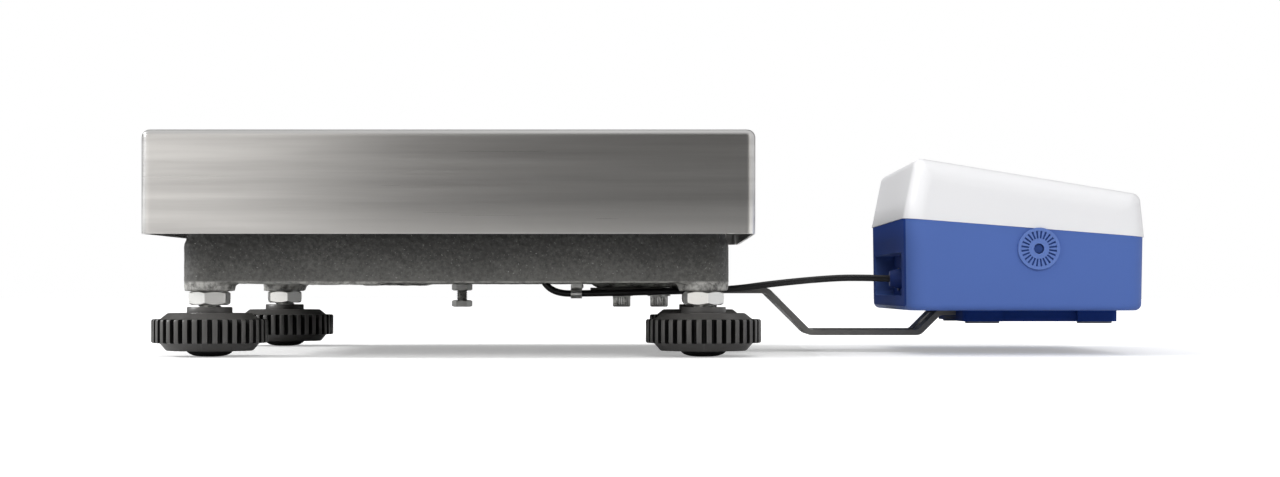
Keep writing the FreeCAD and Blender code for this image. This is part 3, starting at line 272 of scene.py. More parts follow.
def rim_group() -> Tree:
    """The bare, ground lower rim of a casting, broken up by noise.

    Returns:
        The group, with outputs Colour and Share, which is 1 below the rim and 0 above its reach.
    """
    group = SharedGroup("ground_rim", {"Colour": solid((0.05, 0.05, 0.05)),
                                       "Ground": solid((0.2, 0.2, 0.19)), "Height": 0.0375,
                                       "Reach": 0.0012}, ("Colour", "Share"))
    place = group.place()
    above = group.maths("SUBTRACT", group.part(place, 2), group.taken["Height"])
    share = group.maths("SUBTRACT", 1.0, group.maths("DIVIDE", above, group.taken["Reach"]), clamp=True)
    broken = group.maths("SUBTRACT", group.noise(place, 190.0, 5.0, 0.7), 0.37)
    bare = group.maths("MULTIPLY", share, group.maths("MULTIPLY", broken, 5.0, clamp=True), clamp=True)
    return group.give(Colour=group.mix(bare, group.taken["Colour"], group.taken["Ground"]), Share=share)


def wear_group() -> Tree:
    """Rubbed edges, found by how sharply the surface turns outward.

    Returns:
        The group, with output Colour.
    """
    group = SharedGroup("edge_wear", {"Colour": solid((0.5, 0.5, 0.5)), "Worn": solid((0.8, 0.8, 0.8)),
                                      "Amount": 0.4}, ("Colour",))
    sharp = group.maths("SUBTRACT", group.node("NewGeometry").outputs["Pointiness"], 0.53)
    edge = group.maths("MULTIPLY", sharp, 9.0, clamp=True)
    broken = group.maths("GREATER_THAN", group.noise(group.place(), 260.0, 3.0), 0.42)
    wear = group.maths("MULTIPLY", group.maths("MULTIPLY", edge, broken), group.taken["Amount"],
                       clamp=True)
    return group.give(Colour=group.mix(wear, group.taken["Colour"], group.taken["Worn"]))


def dust_group() -> Tree:
    """Thin dust on what faces up, in faint patches.

    Returns:
        The group, with output Colour.
    """
    group = SharedGroup("settled_dust", {"Colour": solid((0.5, 0.5, 0.5)),
                                         "Dust Colour": solid((0.55, 0.53, 0.50)), "Amount": 0.1},
                        ("Colour",))
    upright = group.part(group.node("NewGeometry").outputs["Normal"], 2)
    patch = group.noise(group.place(), 55.0, 4.0, 0.6)
    settled = group.maths("MULTIPLY", group.maths("MAXIMUM", upright, 0.0), patch)
    dust = group.maths("MULTIPLY", settled, group.taken["Amount"], clamp=True)
    return group.give(Colour=group.mix(dust, group.taken["Colour"], group.taken["Dust Colour"]))


@dataclass(frozen=True)
class Shared:
    """The node groups that several finishes share."""

    brushed: Tree
    grain: Tree
    hammered: Tree
    rim: Tree
    wear: Tree
    dust: Tree

    @staticmethod
    def build() -> "Shared":
        """Build every shared group once."""
        return Shared(brushed_group(), grain_group(), hammered_group(), rim_group(), wear_group(),
                      dust_group())


class Surface(Wiring):
    """One material under way, with its shader."""

    def __init__(self, name: str, kind: str = "BsdfPrincipled") -> None:
        """Start the material with one shader.

        Args:
            name: the material's name.
            kind: the shader's type, in Blender's words.
        """
        self.material = bpy.data.materials.new(name)
        self.material.use_nodes = True
        super().__init__(self.material.node_tree)
        self.tree.nodes.clear()
        self.shader = self.node(kind)
        self.output = self.node("OutputMaterial", self.shader.outputs[0])

    def use(self, group: Tree, **values: object) -> bpy.types.NodeOutputs:
        """Place a shared group, feed its inputs by name, and give its outputs."""
        return self.fill(self.node("Group", node_tree=group), **values).outputs

    def finish(self, height: Socket, strength: float, depth: float, **values: object) -> Material:
        """Feed the shader, with a fine relief.

        Args:
            height: the relief's socket.
            strength: how strongly it acts.
            depth: its depth, in metres.
            values: sockets or numbers for the shader's inputs, by name.

        Returns:
            The material.
        """
        relief = self.fill(self.node("Bump"), Strength=strength, Distance=depth, Height=height)
        self.fill(self.shader, Normal=relief.outputs[0], **values)
        return self.material


@dataclass(frozen=True)
class BrushedSheet:
    """Brushed stainless sheet, with painted light along its lower edge that fades out towards the left end.
    """

    name: str = "brushed_stainless"
    grain: Grain = Grain.ALONG_X
    fineness: float = 1400.0
    length: float = 6.0
    light: Point3 = (0.61, 0.605, 0.595)
    dark: Point3 = (0.45, 0.445, 0.44)
    lower: Point3 = (0.92, 0.91, 0.89)
    edge: Point2 = (0.0620, 0.0780)
    fade: Point2 = (-0.24, -0.08)
    lightest: float = 0.85
    roughness: float = 0.30

    def build(self, shared: Shared) -> Material:
        """Make the material.

        Args:
            shared: the shared node groups.

        Returns:
            The material.
        """
        surface = Surface(self.name)
        lines = surface.use(shared.brushed, Fineness=self.fineness, Length=self.length)
        tone = surface.mix(surface.spread(lines["Cloud"], -0.5, 1.5), solid(self.dark), solid(self.light))
        # painted light: the lower colour is mixed in along the skirt's lower edge, fading out towards the
        # left end
        low = surface.use(shared.rim, Height=self.edge[0], Reach=self.edge[1] - self.edge[0])["Share"]
        along = surface.spread(surface.part(surface.place(), 0), 0.0, self.lightest, *self.fade)
        tangent = surface.node("Tangent", direction_type="RADIAL", axis=self.grain.value)
        return surface.finish(
            lines["Height"], 0.10, 0.00005,
            Base_Color=surface.mix(surface.maths("MULTIPLY", low, along), tone, solid(self.lower)),
            Roughness=surface.spread(lines["Streak"], self.roughness - 0.08, self.roughness + 0.10),
            Metallic=1.0, Anisotropic=0.6, Tangent=tangent.outputs[0])


@dataclass(frozen=True)
class HammeredCasting:
    """Painted casting with a hammered skin and a bare ground lower rim, with painted bounce light that
    makes it lighter towards the bottom.
    """

    name: str
    colour: Point3
    roughness: float = 0.52
    depth: float = 0.0009
    cell: float = 430.0
    speckle: float = 980.0
    speck: Point3 = (0.62, 0.62, 0.60)
    worn: Point3 = (0.30, 0.30, 0.29)
    ground: Point3 = (0.38, 0.375, 0.355)
    darkest: float = 0.85
    lightest: float = 3.2
    bounce_light_height: float = 0.034
    fade: float = 0.019

    def build(self, shared: Shared) -> Material:
        """Make the material.

        Args:
            shared: the shared node groups.

        Returns:
            The material.
        """
        surface = Surface(self.name)
        paint = surface.use(shared.hammered, Cell=self.cell, Speck_Scale=self.speckle)
        # painted bounce light: the colour goes from the darkest gain higher up to the lightest gain towards
        # the bottom
        low = surface.use(shared.rim, Height=self.bounce_light_height, Reach=self.fade)["Share"]
        patchy = surface.maths("MULTIPLY_ADD", surface.spread(paint["Mottle"], -1.7, 1.7), 0.62,
                               surface.spread(paint["Cloud"], -0.35, 0.45))
        tone = surface.mix(surface.maths("MULTIPLY_ADD", low, 1.1, patchy),
                           solid(self.colour, self.darkest), solid(self.colour, self.lightest))
        tone = surface.mix(surface.spread(paint["Speck"], 0.0, 0.42), tone, solid(self.speck))
        tone = surface.use(shared.wear, Colour=tone, Worn=solid(self.worn), Amount=0.45)["Colour"]
        tone = surface.use(shared.rim, Colour=tone, Ground=solid(self.ground))["Colour"]
        return surface.finish(
            paint["Height"], 0.75, self.depth,
            Base_Color=surface.use(shared.dust, Colour=tone, Amount=0.15)["Colour"],
            Roughness=surface.spread(paint["Speck"], self.roughness, self.roughness - 0.2))


@dataclass(frozen=True)
class Moulding:
    """Moulded plastic, rubber, plain paint or plated steel, with a fine grain."""

    name: str
    colour: Point3
    roughness: float = 0.45
    contrast: float = 0.06
    wear: float = 0.12
    dust: float = 0.04
    specular: float = 0.5
    metallic: float = 0.0
    worn: Point3 = (0.5, 0.5, 0.5)
    grain: float = 1600.0
    depth: float = 0.00004

    def build(self, shared: Shared) -> Material:
        """Make the material.

        Args:
            shared: the shared node groups.

        Returns:
            The material.
        """
        surface = Surface(self.name)
        grain = surface.use(shared.grain, Scale=self.grain)
        tone = surface.mix(grain["Cloud"], solid(self.colour, 1 - self.contrast),
                           solid(self.colour, 1 + self.contrast))
        tone = surface.use(shared.wear, Colour=tone, Worn=solid(self.worn), Amount=self.wear)["Colour"]
        return surface.finish(
            grain["Height"], 0.35, self.depth,
            Base_Color=surface.use(shared.dust, Colour=tone, Amount=self.dust)["Colour"],
            Roughness=surface.spread(grain["Grain"], self.roughness - 0.06, self.roughness + 0.08),
            Metallic=self.metallic, Specular_IOR_Level=self.specular)


@dataclass(frozen=True)
class ClearWindow:
    """Clear plastic over the display."""

    name: str = "window_clear"
    tint: Point3 = (0.93, 0.95, 0.94)
    bend: float = 1.12

    def build(self, shared: Shared) -> Material:
        """Make the material.

        Args:
            shared: the shared node groups.

        Returns:
            The material.
        """
        surface = Surface(self.name)
        cloud = surface.use(shared.grain, Scale=90.0)["Cloud"]
        surface.fill(surface.shader, Transmission_Weight=1.0, IOR=self.bend, Base_Color=solid(self.tint),
                     Roughness=surface.spread(cloud, 0.02, 0.07))
        return surface.material


@dataclass
class Finishes:
    """Every finish of the scale, by name."""

    shared: Shared
    made: dict[str, Material] = field(default_factory=dict)

    def build(self) -> None:
        """Make every material."""
        clean = {"contrast": 0.03, "wear": 0.0, "dust": 0.0}
        plated = {"wear": 0.5, "grain": 900.0}
        recipes = [
            BrushedSheet(),
            BrushedSheet("brushed_ends", Grain.ALONG_Y),
            HammeredCasting("cast_grey", (0.025, 0.0247, 0.023)),
            HammeredCasting("carrier_grey", (0.04, 0.04, 0.041), 0.6, 0.0005),
            Moulding("knob_black", (0.060, 0.058, 0.056), 0.38, wear=0.3, dust=0.10,
                     worn=(0.12, 0.12, 0.12)),
            # painted shade for the faces between the knob's ribs
            Moulding("knob_groove_shade", (0.004, 0.004, 0.004), 0.6, wear=0.0, dust=0.0, specular=0.2),
            Moulding("rubber_black", (0.016, 0.016, 0.017), 0.75, contrast=0.2, dust=0.06),
            Moulding("rubber_grey", (0.20, 0.21, 0.23), 0.8, contrast=0.12),
            Moulding("cable_black", (0.009, 0.009, 0.010), 0.36, contrast=0.2, wear=0.0, dust=0.0),
            Moulding("shell_blue", (0.070, 0.134, 0.40), 0.50, specular=0.22, **clean),
            # painted shade in the boss slots and plugs, a painted highlight on the tooth faces, and painted
            # shade on the shell's back face
            Moulding("shell_slot_shade", (0.030, 0.068, 0.24), 0.55, specular=0.15, **clean),
            Moulding("shell_tooth_highlight", (0.10, 0.175, 0.46), 0.45, specular=0.3, **clean),
            Moulding("shell_back_shade", (0.018, 0.050, 0.24), 0.60, specular=0.03, **clean),
            # painted shade on the foot plate under the housing
            Moulding("sole_blue_shade", (0.014, 0.044, 0.22), 0.60, specular=0.05, **clean),
            Moulding("shell_white", (0.765, 0.765, 0.78), 0.42, contrast=0.015, wear=0.0, dust=0.0),
            Moulding("gland_blue", (0.013, 0.036, 0.18), 0.50, contrast=0.04, wear=0.0, dust=0.0,
                     specular=0.2),
            Moulding("panel_film", (0.10, 0.15, 0.34), 0.32, contrast=0.03, wear=0.0, depth=0.00001),
            Moulding("key_grey", (0.62, 0.63, 0.65), 0.55, contrast=0.04),
            Moulding("zinc", (0.73, 0.73, 0.71), 0.30, contrast=0.16, metallic=0.85,
                     worn=(0.85, 0.85, 0.83), **plated),
            Moulding("zinc_dark", (0.42, 0.42, 0.41), 0.33, contrast=0.2, metallic=1.0,
                     worn=(0.7, 0.7, 0.68), **plated),
            # painted shade for the floors between the cap screws' knurls
            Moulding("zinc_knurl_shade", (0.10, 0.10, 0.10), 0.45, contrast=0.2, wear=0.0, metallic=1.0),
            Moulding("cell_alloy", (0.60, 0.61, 0.62), 0.38, contrast=0.08, metallic=1.0),
            Moulding("strip_steel", (0.19, 0.186, 0.18), 0.38, contrast=0.10, wear=0.0, dust=0.0,
                     metallic=0.8, depth=0.00002),
            Moulding("board_green", (0.03, 0.16, 0.06), 0.35, contrast=0.1),
            Moulding("case_dark", (0.05, 0.05, 0.055), 0.5, contrast=0.1),
            Moulding("lcd_field", (0.34, 0.40, 0.30), 0.42, contrast=0.03, wear=0.0, specular=0.2),
            Moulding("lcd_segment", (0.035, 0.045, 0.035), 0.3, contrast=0.05, wear=0.0),
            Moulding("mark_blue", (0.03, 0.05, 0.16), 0.5, contrast=0.02, wear=0.0),
            ClearWindow(),
        ]
        for recipe in recipes:
            self.made[recipe.name] = recipe.build(self.shared)

    def fit(self, thing: Thing, slot: str, body: str, node: str, *names: str) -> None:
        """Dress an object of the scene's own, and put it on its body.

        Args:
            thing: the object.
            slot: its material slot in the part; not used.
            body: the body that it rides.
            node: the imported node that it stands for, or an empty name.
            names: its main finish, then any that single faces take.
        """
        for name in names:
            thing.data.materials.append(self.made[name])
        if node:
            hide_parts(node)
        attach(thing, body)

    def dress_nodes(self, finish_of: dict[str, str]) -> None:
        """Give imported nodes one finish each, over all their faces.

        Args:
            finish_of: each node's finish.
        """
        for node, name in finish_of.items():
            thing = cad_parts[node]
            if not thing.material_slots:
                thing.data.materials.append(self.made[name])
            for slot in thing.material_slots:
                slot.material = self.made[name]


def put(name: str, data: bpy.types.ID) -> Thing:
    """Put new data in the scene.

    Args:
        name: the object's name.
        data: its mesh, curve, camera or lamp.

    Returns:
        The object.
    """
    thing = bpy.data.objects.new(name, data)
    bpy.context.scene.collection.objects.link(thing)
    return thing


def put_shape(name: str, shape: bmesh.types.BMesh) -> Thing:
    """Turn a bmesh into an object as it is.

    Args:
        name: the object's name.
        shape: the mesh, which is freed.

    Returns:
        The object.
    """
    mesh = bpy.data.meshes.new(name)
    shape.to_mesh(mesh)
    shape.free()
    return put(name, mesh)


def finish_mesh(name: str, shape: bmesh.types.BMesh, smooth: float = 35.0) -> Thing:
    """Turn a bmesh into an object, smooth but for its sharp edges.

    Args:
        name: the object's name.
        shape: the mesh.
        smooth: the angle from which an edge stays sharp, in degrees.

    Returns:
        The object.
    """
    bmesh.ops.recalc_face_normals(shape, faces=shape.faces)
    limit = math.radians(smooth)
    for edge in shape.edges:
        edge.smooth = len(edge.link_faces) == 2 and edge.calc_face_angle(0.0) < limit
    for face in shape.faces:
        face.smooth = True
    return put_shape(name, shape)


def rounded_outline(half_long: float, half_wide: float, radius: float, steps: int) -> list[Point2]:
    """The outline of a rectangle with round corners.

    Args:
        half_long: half its length.
        half_wide: half its width.
        radius: its corners' radius.
        steps: how many pieces each corner has.

    Returns:
        Its points, anticlockwise from the lower right.
    """
    points: list[Point2] = []
    for quarter, (a, b) in enumerate(CORNERS[1:] + CORNERS[:1]):
        for step in range(steps + 1):
            turn = math.radians(90*(quarter - 1) + 90*step/steps)
            points.append((a*(half_long - radius) + radius*math.cos(turn),
                           b*(half_wide - radius) + radius*math.sin(turn)))
    return points


def skin(shape: bmesh.types.BMesh, loops: Sequence[Loop], cap_first: bool = True,
         cap_last: bool = True) -> None:
    """Join loops of equal length by faces.

    Args:
        shape: the mesh to add to.
        loops: the loops, in order.
        cap_first: whether the first loop is filled.
        cap_last: whether the last loop is filled.
    """
    rows = [[shape.verts.new(point) for point in loop] for loop in loops]
    for low, high in zip(rows, rows[1:]):
        count = len(low)
        for i in range(count):
            shape.faces.new((low[i], low[(i + 1) % count], high[(i + 1) % count], high[i]))
    if cap_first:
        shape.faces.new(list(reversed(rows[0])))
    if cap_last:
        shape.faces.new(rows[-1])


def lathe(name: str, profile: Sequence[Point2], steps: int,
          radius_at: Callable[[float, float, float], float] | None = None,
          smooth: float = 35.0, ring: bool = False) -> Thing:
    """Turn a profile round Z.

    Args:
        name: the object's name.
        profile: radius and height of each row, in millimetres.
        steps: how many columns it has.
        radius_at: changes a row's radius by angle, given radius, height and angle.
        smooth: the angle from which an edge stays sharp, in degrees.
        ring: whether the profile closes on itself round a bore.

    Returns:
        The object, about the origin.
    """
    shape = bmesh.new()
    loops = []
    for radius, height in profile:
        loop = []
        for step in range(steps):
            angle = math.tau*step/steps
            here = radius_at(radius, height, angle) if radius_at else radius
            loop.append(Vector((here*math.cos(angle), here*math.sin(angle), height))*MM)
        loops.append(loop)
    skin(shape, loops, cap_first=not ring, cap_last=not ring)
    if ring:
        bmesh.ops.remove_doubles(shape, verts=shape.verts, dist=1e-6)
    return finish_mesh(name, shape, smooth)


def hex_nut(name: str, across: float, low: float, high: float, bore: float) -> Thing:
    """Turn a hexagon nut with bevelled corners, or a plain head where the bore is nothing.

    Args:
        name: the object's name.
        across: its size across the flats, in millimetres.
        low: where it starts along Z.
        high: where it ends.
        bore: the bore's radius, or 0 for a solid head.

    Returns:
        The object, about the origin.
    """

    def corner(radius: float, height: float, angle: float) -> float:
        """Keep a row inside the hexagon and the bevels of its ends.

        Args:
            radius: the row's radius.
            height: its height.
            angle: the column's angle.

        Returns:
            The radius there.
        """
        if radius < across*0.45:
            return radius
        flat = across/2/math.cos(angle % (math.pi/3) - math.pi/6)
        inside = min(height - low, high - height)
        return min(flat, across*BEVEL_START + BEVEL_SLOPE*max(0.0, inside))

    rows = [0.0, 0.15, 0.3, 0.45, 0.6, 0.8, 1.0]
    heights = [low + row for row in rows] + [(low + high)/2] + [high - row for row in reversed(rows)]
    if high - low < 2.2:
        heights = [low, low + 0.2, low + 0.4, high - 0.4, high - 0.2, high]
    outer = [(across*0.6, height) for height in heights]
    profile = [(0.1, low), *outer, (0.1, high)]
    if bore:
        wide = bore + 0.5
        profile = [(wide, low), *outer, (wide, high), (bore, high - 0.5), (bore, low + 0.5), (wide, low)]
    return lathe(name, profile, NUT_COLUMNS, corner, NUT_SMOOTH, bool(bore))


def ripple(turns: float) -> float:
    """Go from 1 at every whole turn to 0 halfway between."""
    return abs(turns % 1.0 - 0.5)*2


def threaded(name: str, radius: float, low: float, high: float, pitch: float) -> Thing:
    """Turn a threaded shank.

    Args:
        name: the object's name.
        radius: its outer radius, in millimetres.
        low: where it starts along Z.
        high: where it ends.
        pitch: the thread's pitch.

    Returns:
        The object, about the origin.
    """
    rows = int((high - low)/pitch*THREAD_ROWS)
    body = [(radius, low + 0.4 + (high - low - 0.8)*i/rows) for i in range(rows + 1)]

    def thread(here: float, height: float, angle: float) -> float:
        """Dip the radius along a right-hand helix.

        Args:
            here: the row's radius.
            height: its height.
            angle: the column's angle.

        Returns:
            The radius there.
        """
        if here < radius:
            return here
        return here - THREAD_DEPTH*pitch*ripple(height/pitch - angle/math.tau)

    return lathe(name, [(radius*0.8, low), *body, (radius*0.8, high)], THREAD_COLUMNS, thread, 60.0)


def joined(name: str, things: Sequence[Thing]) -> Thing:
    """Join several meshes into one.

    Args:
        name: the joined object's name.
        things: the objects, which are removed.

    Returns:
        The one object.
    """
    shape = bmesh.new()
    for thing in things:
        shape.from_mesh(thing.data)
        bpy.data.objects.remove(thing)
    return put_shape(name, shape)


def move(thing: Thing, place: Point3, turn: Matrix | None = None) -> Thing:
    """Turn and move a mesh's own points, and leave the object at the origin."""
    thing.data.transform(Matrix.Translation(place) @ (turn or Matrix.Identity(4)))
    return thing


def corners(node: str) -> tuple[Vector, Vector]:
    """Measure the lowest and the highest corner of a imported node, in millimetres."""
    low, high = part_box(node)
    return Vector(low)/MM, Vector(high)/MM


def axis_of(node: str) -> Point3:
    """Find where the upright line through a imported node's middle meets the table, in metres."""
    low, high = corners(node)
    return (low.x + high.x)/2*MM, (low.y + high.y)/2*MM, 0.0


def copy_of(node: str, name: str) -> Thing:
    """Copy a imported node's mesh, in its place and without its materials.

    Args:
        node: the node's name.
        name: the copy's name.

    Returns:
        The copy.
    """
    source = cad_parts[node]
    mesh = source.data.copy()
    mesh.transform(source.matrix_world)
    mesh.materials.clear()
    return put(name, mesh)


@dataclass
class Studio:
    """Camera, floor, backdrop light and lamps."""

    eye: Point3 = (0.0089, -1.459, 0.034)
    lens: float = 73.1
    shift: Point2 = (-0.0234, 0.0402)
    floor_half: float = 8.0
    floor_white: float = 0.86
    lift: Point2 = (0.34, 0.75)
    lift_reach: Point2 = (0.35, 1.2)
    backdrop_light: float = 0.45
    dark_glow: float = 0.02
    flag_glow: float = 0.8
    warmth: Point3 = (1.0, 0.975, 0.945)
    grade: tuple[Point2, ...] = ((-1.2, 1.25), (-0.62, 1.38), (-0.535, 1.22), (-0.45, 0.63),
                                 (-0.34, 0.26), (-0.23, 0.215), (-0.118, 0.20), (0.02, 0.165),
                                 (0.40, 0.13), (0.80, 0.17), (1.25, 0.45), (1.7, 1.1))

    def build(self) -> None:
        """Set the camera, the floor and the light."""
        self._camera()
        self._floor()
        self._cards()
        self._world()
        self._lamps()
        bpy.context.scene.view_settings.view_transform = "Standard"

    def _camera(self) -> None:
        """A level camera low beside the scale."""
        data = bpy.data.cameras.new("camera")
        data.lens = self.lens
        data.sensor_width = 36.0
        data.shift_x, data.shift_y = self.shift
        data.clip_start = 0.01
        data.clip_end = 100.0
        camera = put("camera", data)
        camera.location = self.eye
        camera.rotation_euler = (math.radians(90), 0, 0)
        bpy.context.scene.camera = camera

    def _floor(self) -> None:
        """A wide pale floor that keeps the scale's shadow.

        It is raised to white for the camera, least where the shadow falls, and a view from below
        passes through it.
        """
        shape = bmesh.new()
        bmesh.ops.create_grid(shape, x_segments=2, y_segments=2, size=self.floor_half)
        floor = finish_mesh("floor", shape)
        surface = Surface("floor_pale")
        reach = surface.node("VectorMath", surface.place(), operation="LENGTH").outputs["Value"]
        lift = surface.maths("MULTIPLY", surface.spread(reach, *self.lift, *self.lift_reach),
                             surface.node("LightPath").outputs["Is Camera Ray"])
        surface.fill(surface.shader, Base_Color=solid((self.floor_white,)*3), Roughness=0.9,
                     Specular_IOR_Level=0.1, Emission_Color=solid((1, 1, 1)), Emission_Strength=lift)
        either = surface.node("MixShader", surface.node("NewGeometry").outputs["Backfacing"],
                              surface.shader.outputs[0], surface.node("BsdfTransparent").outputs[0])
        surface.fill(surface.output, Surface=either.outputs[0])
        floor.data.materials.append(surface.material)

    def _cards(self) -> None:
        """Cards that only reflections see, a graded pair in front and a dark one behind; and a flag, dark
        to diffuse light as painted shade between the plate and the display, and grey in reflections as a
        painted reflection.
        """
        first, last = self.grade[0][0], self.grade[-1][0]
        graded, dark, grey = [Surface(name, "Emission") for name in ("graded_card", "dark_card", "flag")]
        along = graded.spread(graded.part(graded.place(), 0), 0.0, 1.0, first, last)
        tones = graded.node("ValToRGB", along)
        stops = tones.color_ramp.elements
        tones.color_ramp.interpolation = "EASE"
        while len(stops) < len(self.grade):
            stops.new(0.5)
        for stop, (x, tone) in zip(stops, self.grade):
            stop.position = (x - first)/(last - first)
            stop.color = (*[tone*share for share in self.warmth], 1)
        seen = grey.node("LightPath").outputs["Is Glossy Ray"]
        graded.fill(graded.shader, Color=tones.outputs[0])
        dark.fill(dark.shader, Color=solid((self.dark_glow,)*3))
        grey.fill(grey.shader, Color=grey.spread(seen, self.dark_glow, self.flag_glow))
        self._card("graded_card", (6.0, 2.4), (0.0, -1.6, 1.20), (90, 0), graded)
        self._card("floor_card", (6.0, 1.22), (0.0, -0.98, 0.002), (0, 0), graded)
        self._card("dark_card", (1.6, 0.8), (-0.15, 0.5, 0.40), (90, 0), dark)
        # painted shade and reflection: the flag is dark for diffuse light between the plate and the
        # display, and grey for reflections
        flag = self._card("flag", (0.24, 0.066), (0.088, 0.0, 0.035), (90, 90), grey)
        flag.visible_diffuse = True

    def _card(self, name: str, size: Point2, place: Point3, turns: Point2, glow: Surface) -> Thing:
        """Stand one card that the camera and the lamps don't see.

        Args:
            name: the card's name.
            size: its width and height, in metres.
            place: its middle.
            turns: its turns about X and then Z, in degrees.
            glow: what it glows with.

        Returns:
            The card.
        """
        shape = bmesh.new()
        bmesh.ops.create_grid(shape, x_segments=1, y_segments=1, size=0.5)
        bmesh.ops.scale(shape, vec=(*size, 1), verts=shape.verts)
        card = finish_mesh(name, shape)
        card.location = place
        card.rotation_euler = (math.radians(turns[0]), 0, math.radians(turns[1]))
        for ray in ("camera", "diffuse", "transmission", "shadow"):
            setattr(card, f"visible_{ray}", False)
        card.data.materials.append(glow.material)
        return card

    def _world(self) -> None:
        """A white backdrop for the camera, gloss and glass, and softer light for the rest."""
        world = bpy.data.worlds.new("studio")
        bpy.context.scene.world = world
        world.use_nodes = True
        world.cycles.sampling_method = "NONE"
        world.node_tree.nodes.clear()
        wiring = Wiring(world.node_tree)
        white = solid((1, 1, 1))
        path = wiring.node("LightPath").outputs
        shown = wiring.maths("MAXIMUM", path["Is Camera Ray"], path["Is Glossy Ray"])
        shown = wiring.maths("MAXIMUM", shown, path["Is Transmission Ray"])
        mixed = wiring.node("MixShader", shown,
                            wiring.node("Background", white, self.backdrop_light).outputs[0],
                            wiring.node("Background", white, 1.0).outputs[0])
        wiring.node("OutputWorld", mixed.outputs[0])

    def _lamps(self) -> None:
        """Soft boxes above, in front and to the left, of which gloss sees the left one alone."""
        lamps = (
            ("overhead", (0.0, 0.0, 1.9), (0.0, 0.0, 0.05), 1.8, 13.0),
            ("front", (0.35, -2.3, 1.0), (0.05, 0.0, 0.06), 1.4, 24.5),
            ("left", (-1.9, 0.0, 1.12), (0.13, 0.0, 0.08), 0.45, 31.0),
        )
        for name, place, target, size, watts in lamps:
            data = bpy.data.lights.new(name, "AREA")
            data.shape = "SQUARE"
            data.size = size
            data.energy = watts
            lamp = put(name, data)
            lamp.location = place
            lamp.visible_glossy = name == "left"
            lamp.rotation_euler = (Vector(place) - Vector(target)).to_track_quat("Z", "Y").to_euler()


@dataclass
class Plate:
    """The folded stainless weighing plate."""

    finishes: Finishes
    corner: float = 5.0
    bend: float = 4.0
    sheet: float = 1.5
    edge_round: float = 0.15
    end_facing: float = 0.8

    def build(self) -> None:
        """Build the sheet with its skirt, inside and out, and dress it."""
        low, high = corners("weighing_plate")
        middle = (low + high)/2
        half = (high - low)/2

        def ring(inset: float, height: float) -> Loop:
            """Draw one level loop of the sheet, drawn in by an inset."""
            outline = rounded_outline(half.x - inset, half.y - inset, max(self.corner - inset, 0.6), 6)
            return [Vector((middle.x + x, middle.y + y, height))*MM for x, y in outline]

        def fold(inset: float, radius: float, steps: int) -> list[Loop]:
            """Draw the bend from the skirt to the top.

            Args:
                inset: how far the skirt's face is drawn in.
                radius: the bend's radius.
                steps: how many pieces it has.

            Returns:
                Its loops, upward.
            """
            turns = [math.radians(90*step/steps) for step in range(steps + 1)]
            return [ring(inset + radius*(1 - math.cos(turn)), high.z - self.bend + radius*math.sin(turn))
                    for turn in turns]

        foot = ring(self.sheet, low.z)
        outer = [foot, ring(self.edge_round, low.z), ring(0.0, low.z + self.edge_round)]
        for share in (0.25, 0.5, 0.75):
            outer.append(ring(0.0, low.z + share*(high.z - low.z - self.bend)))
        shape = bmesh.new()
        skin(shape, outer + fold(0.0, self.bend, 6), cap_first=False)
        skin(shape, [foot] + fold(self.sheet, self.bend - self.sheet, 4), cap_first=False)
        bmesh.ops.remove_doubles(shape, verts=shape.verts, dist=1e-6)
        plate = finish_mesh("plate_sheet", shape, 40.0)
        for face in plate.data.polygons:
            face.material_index = int(abs(face.normal.x) > self.end_facing)
        self.finishes.fit(plate, "stainless", "plate", "weighing_plate", "brushed_stainless",
                          "brushed_ends")


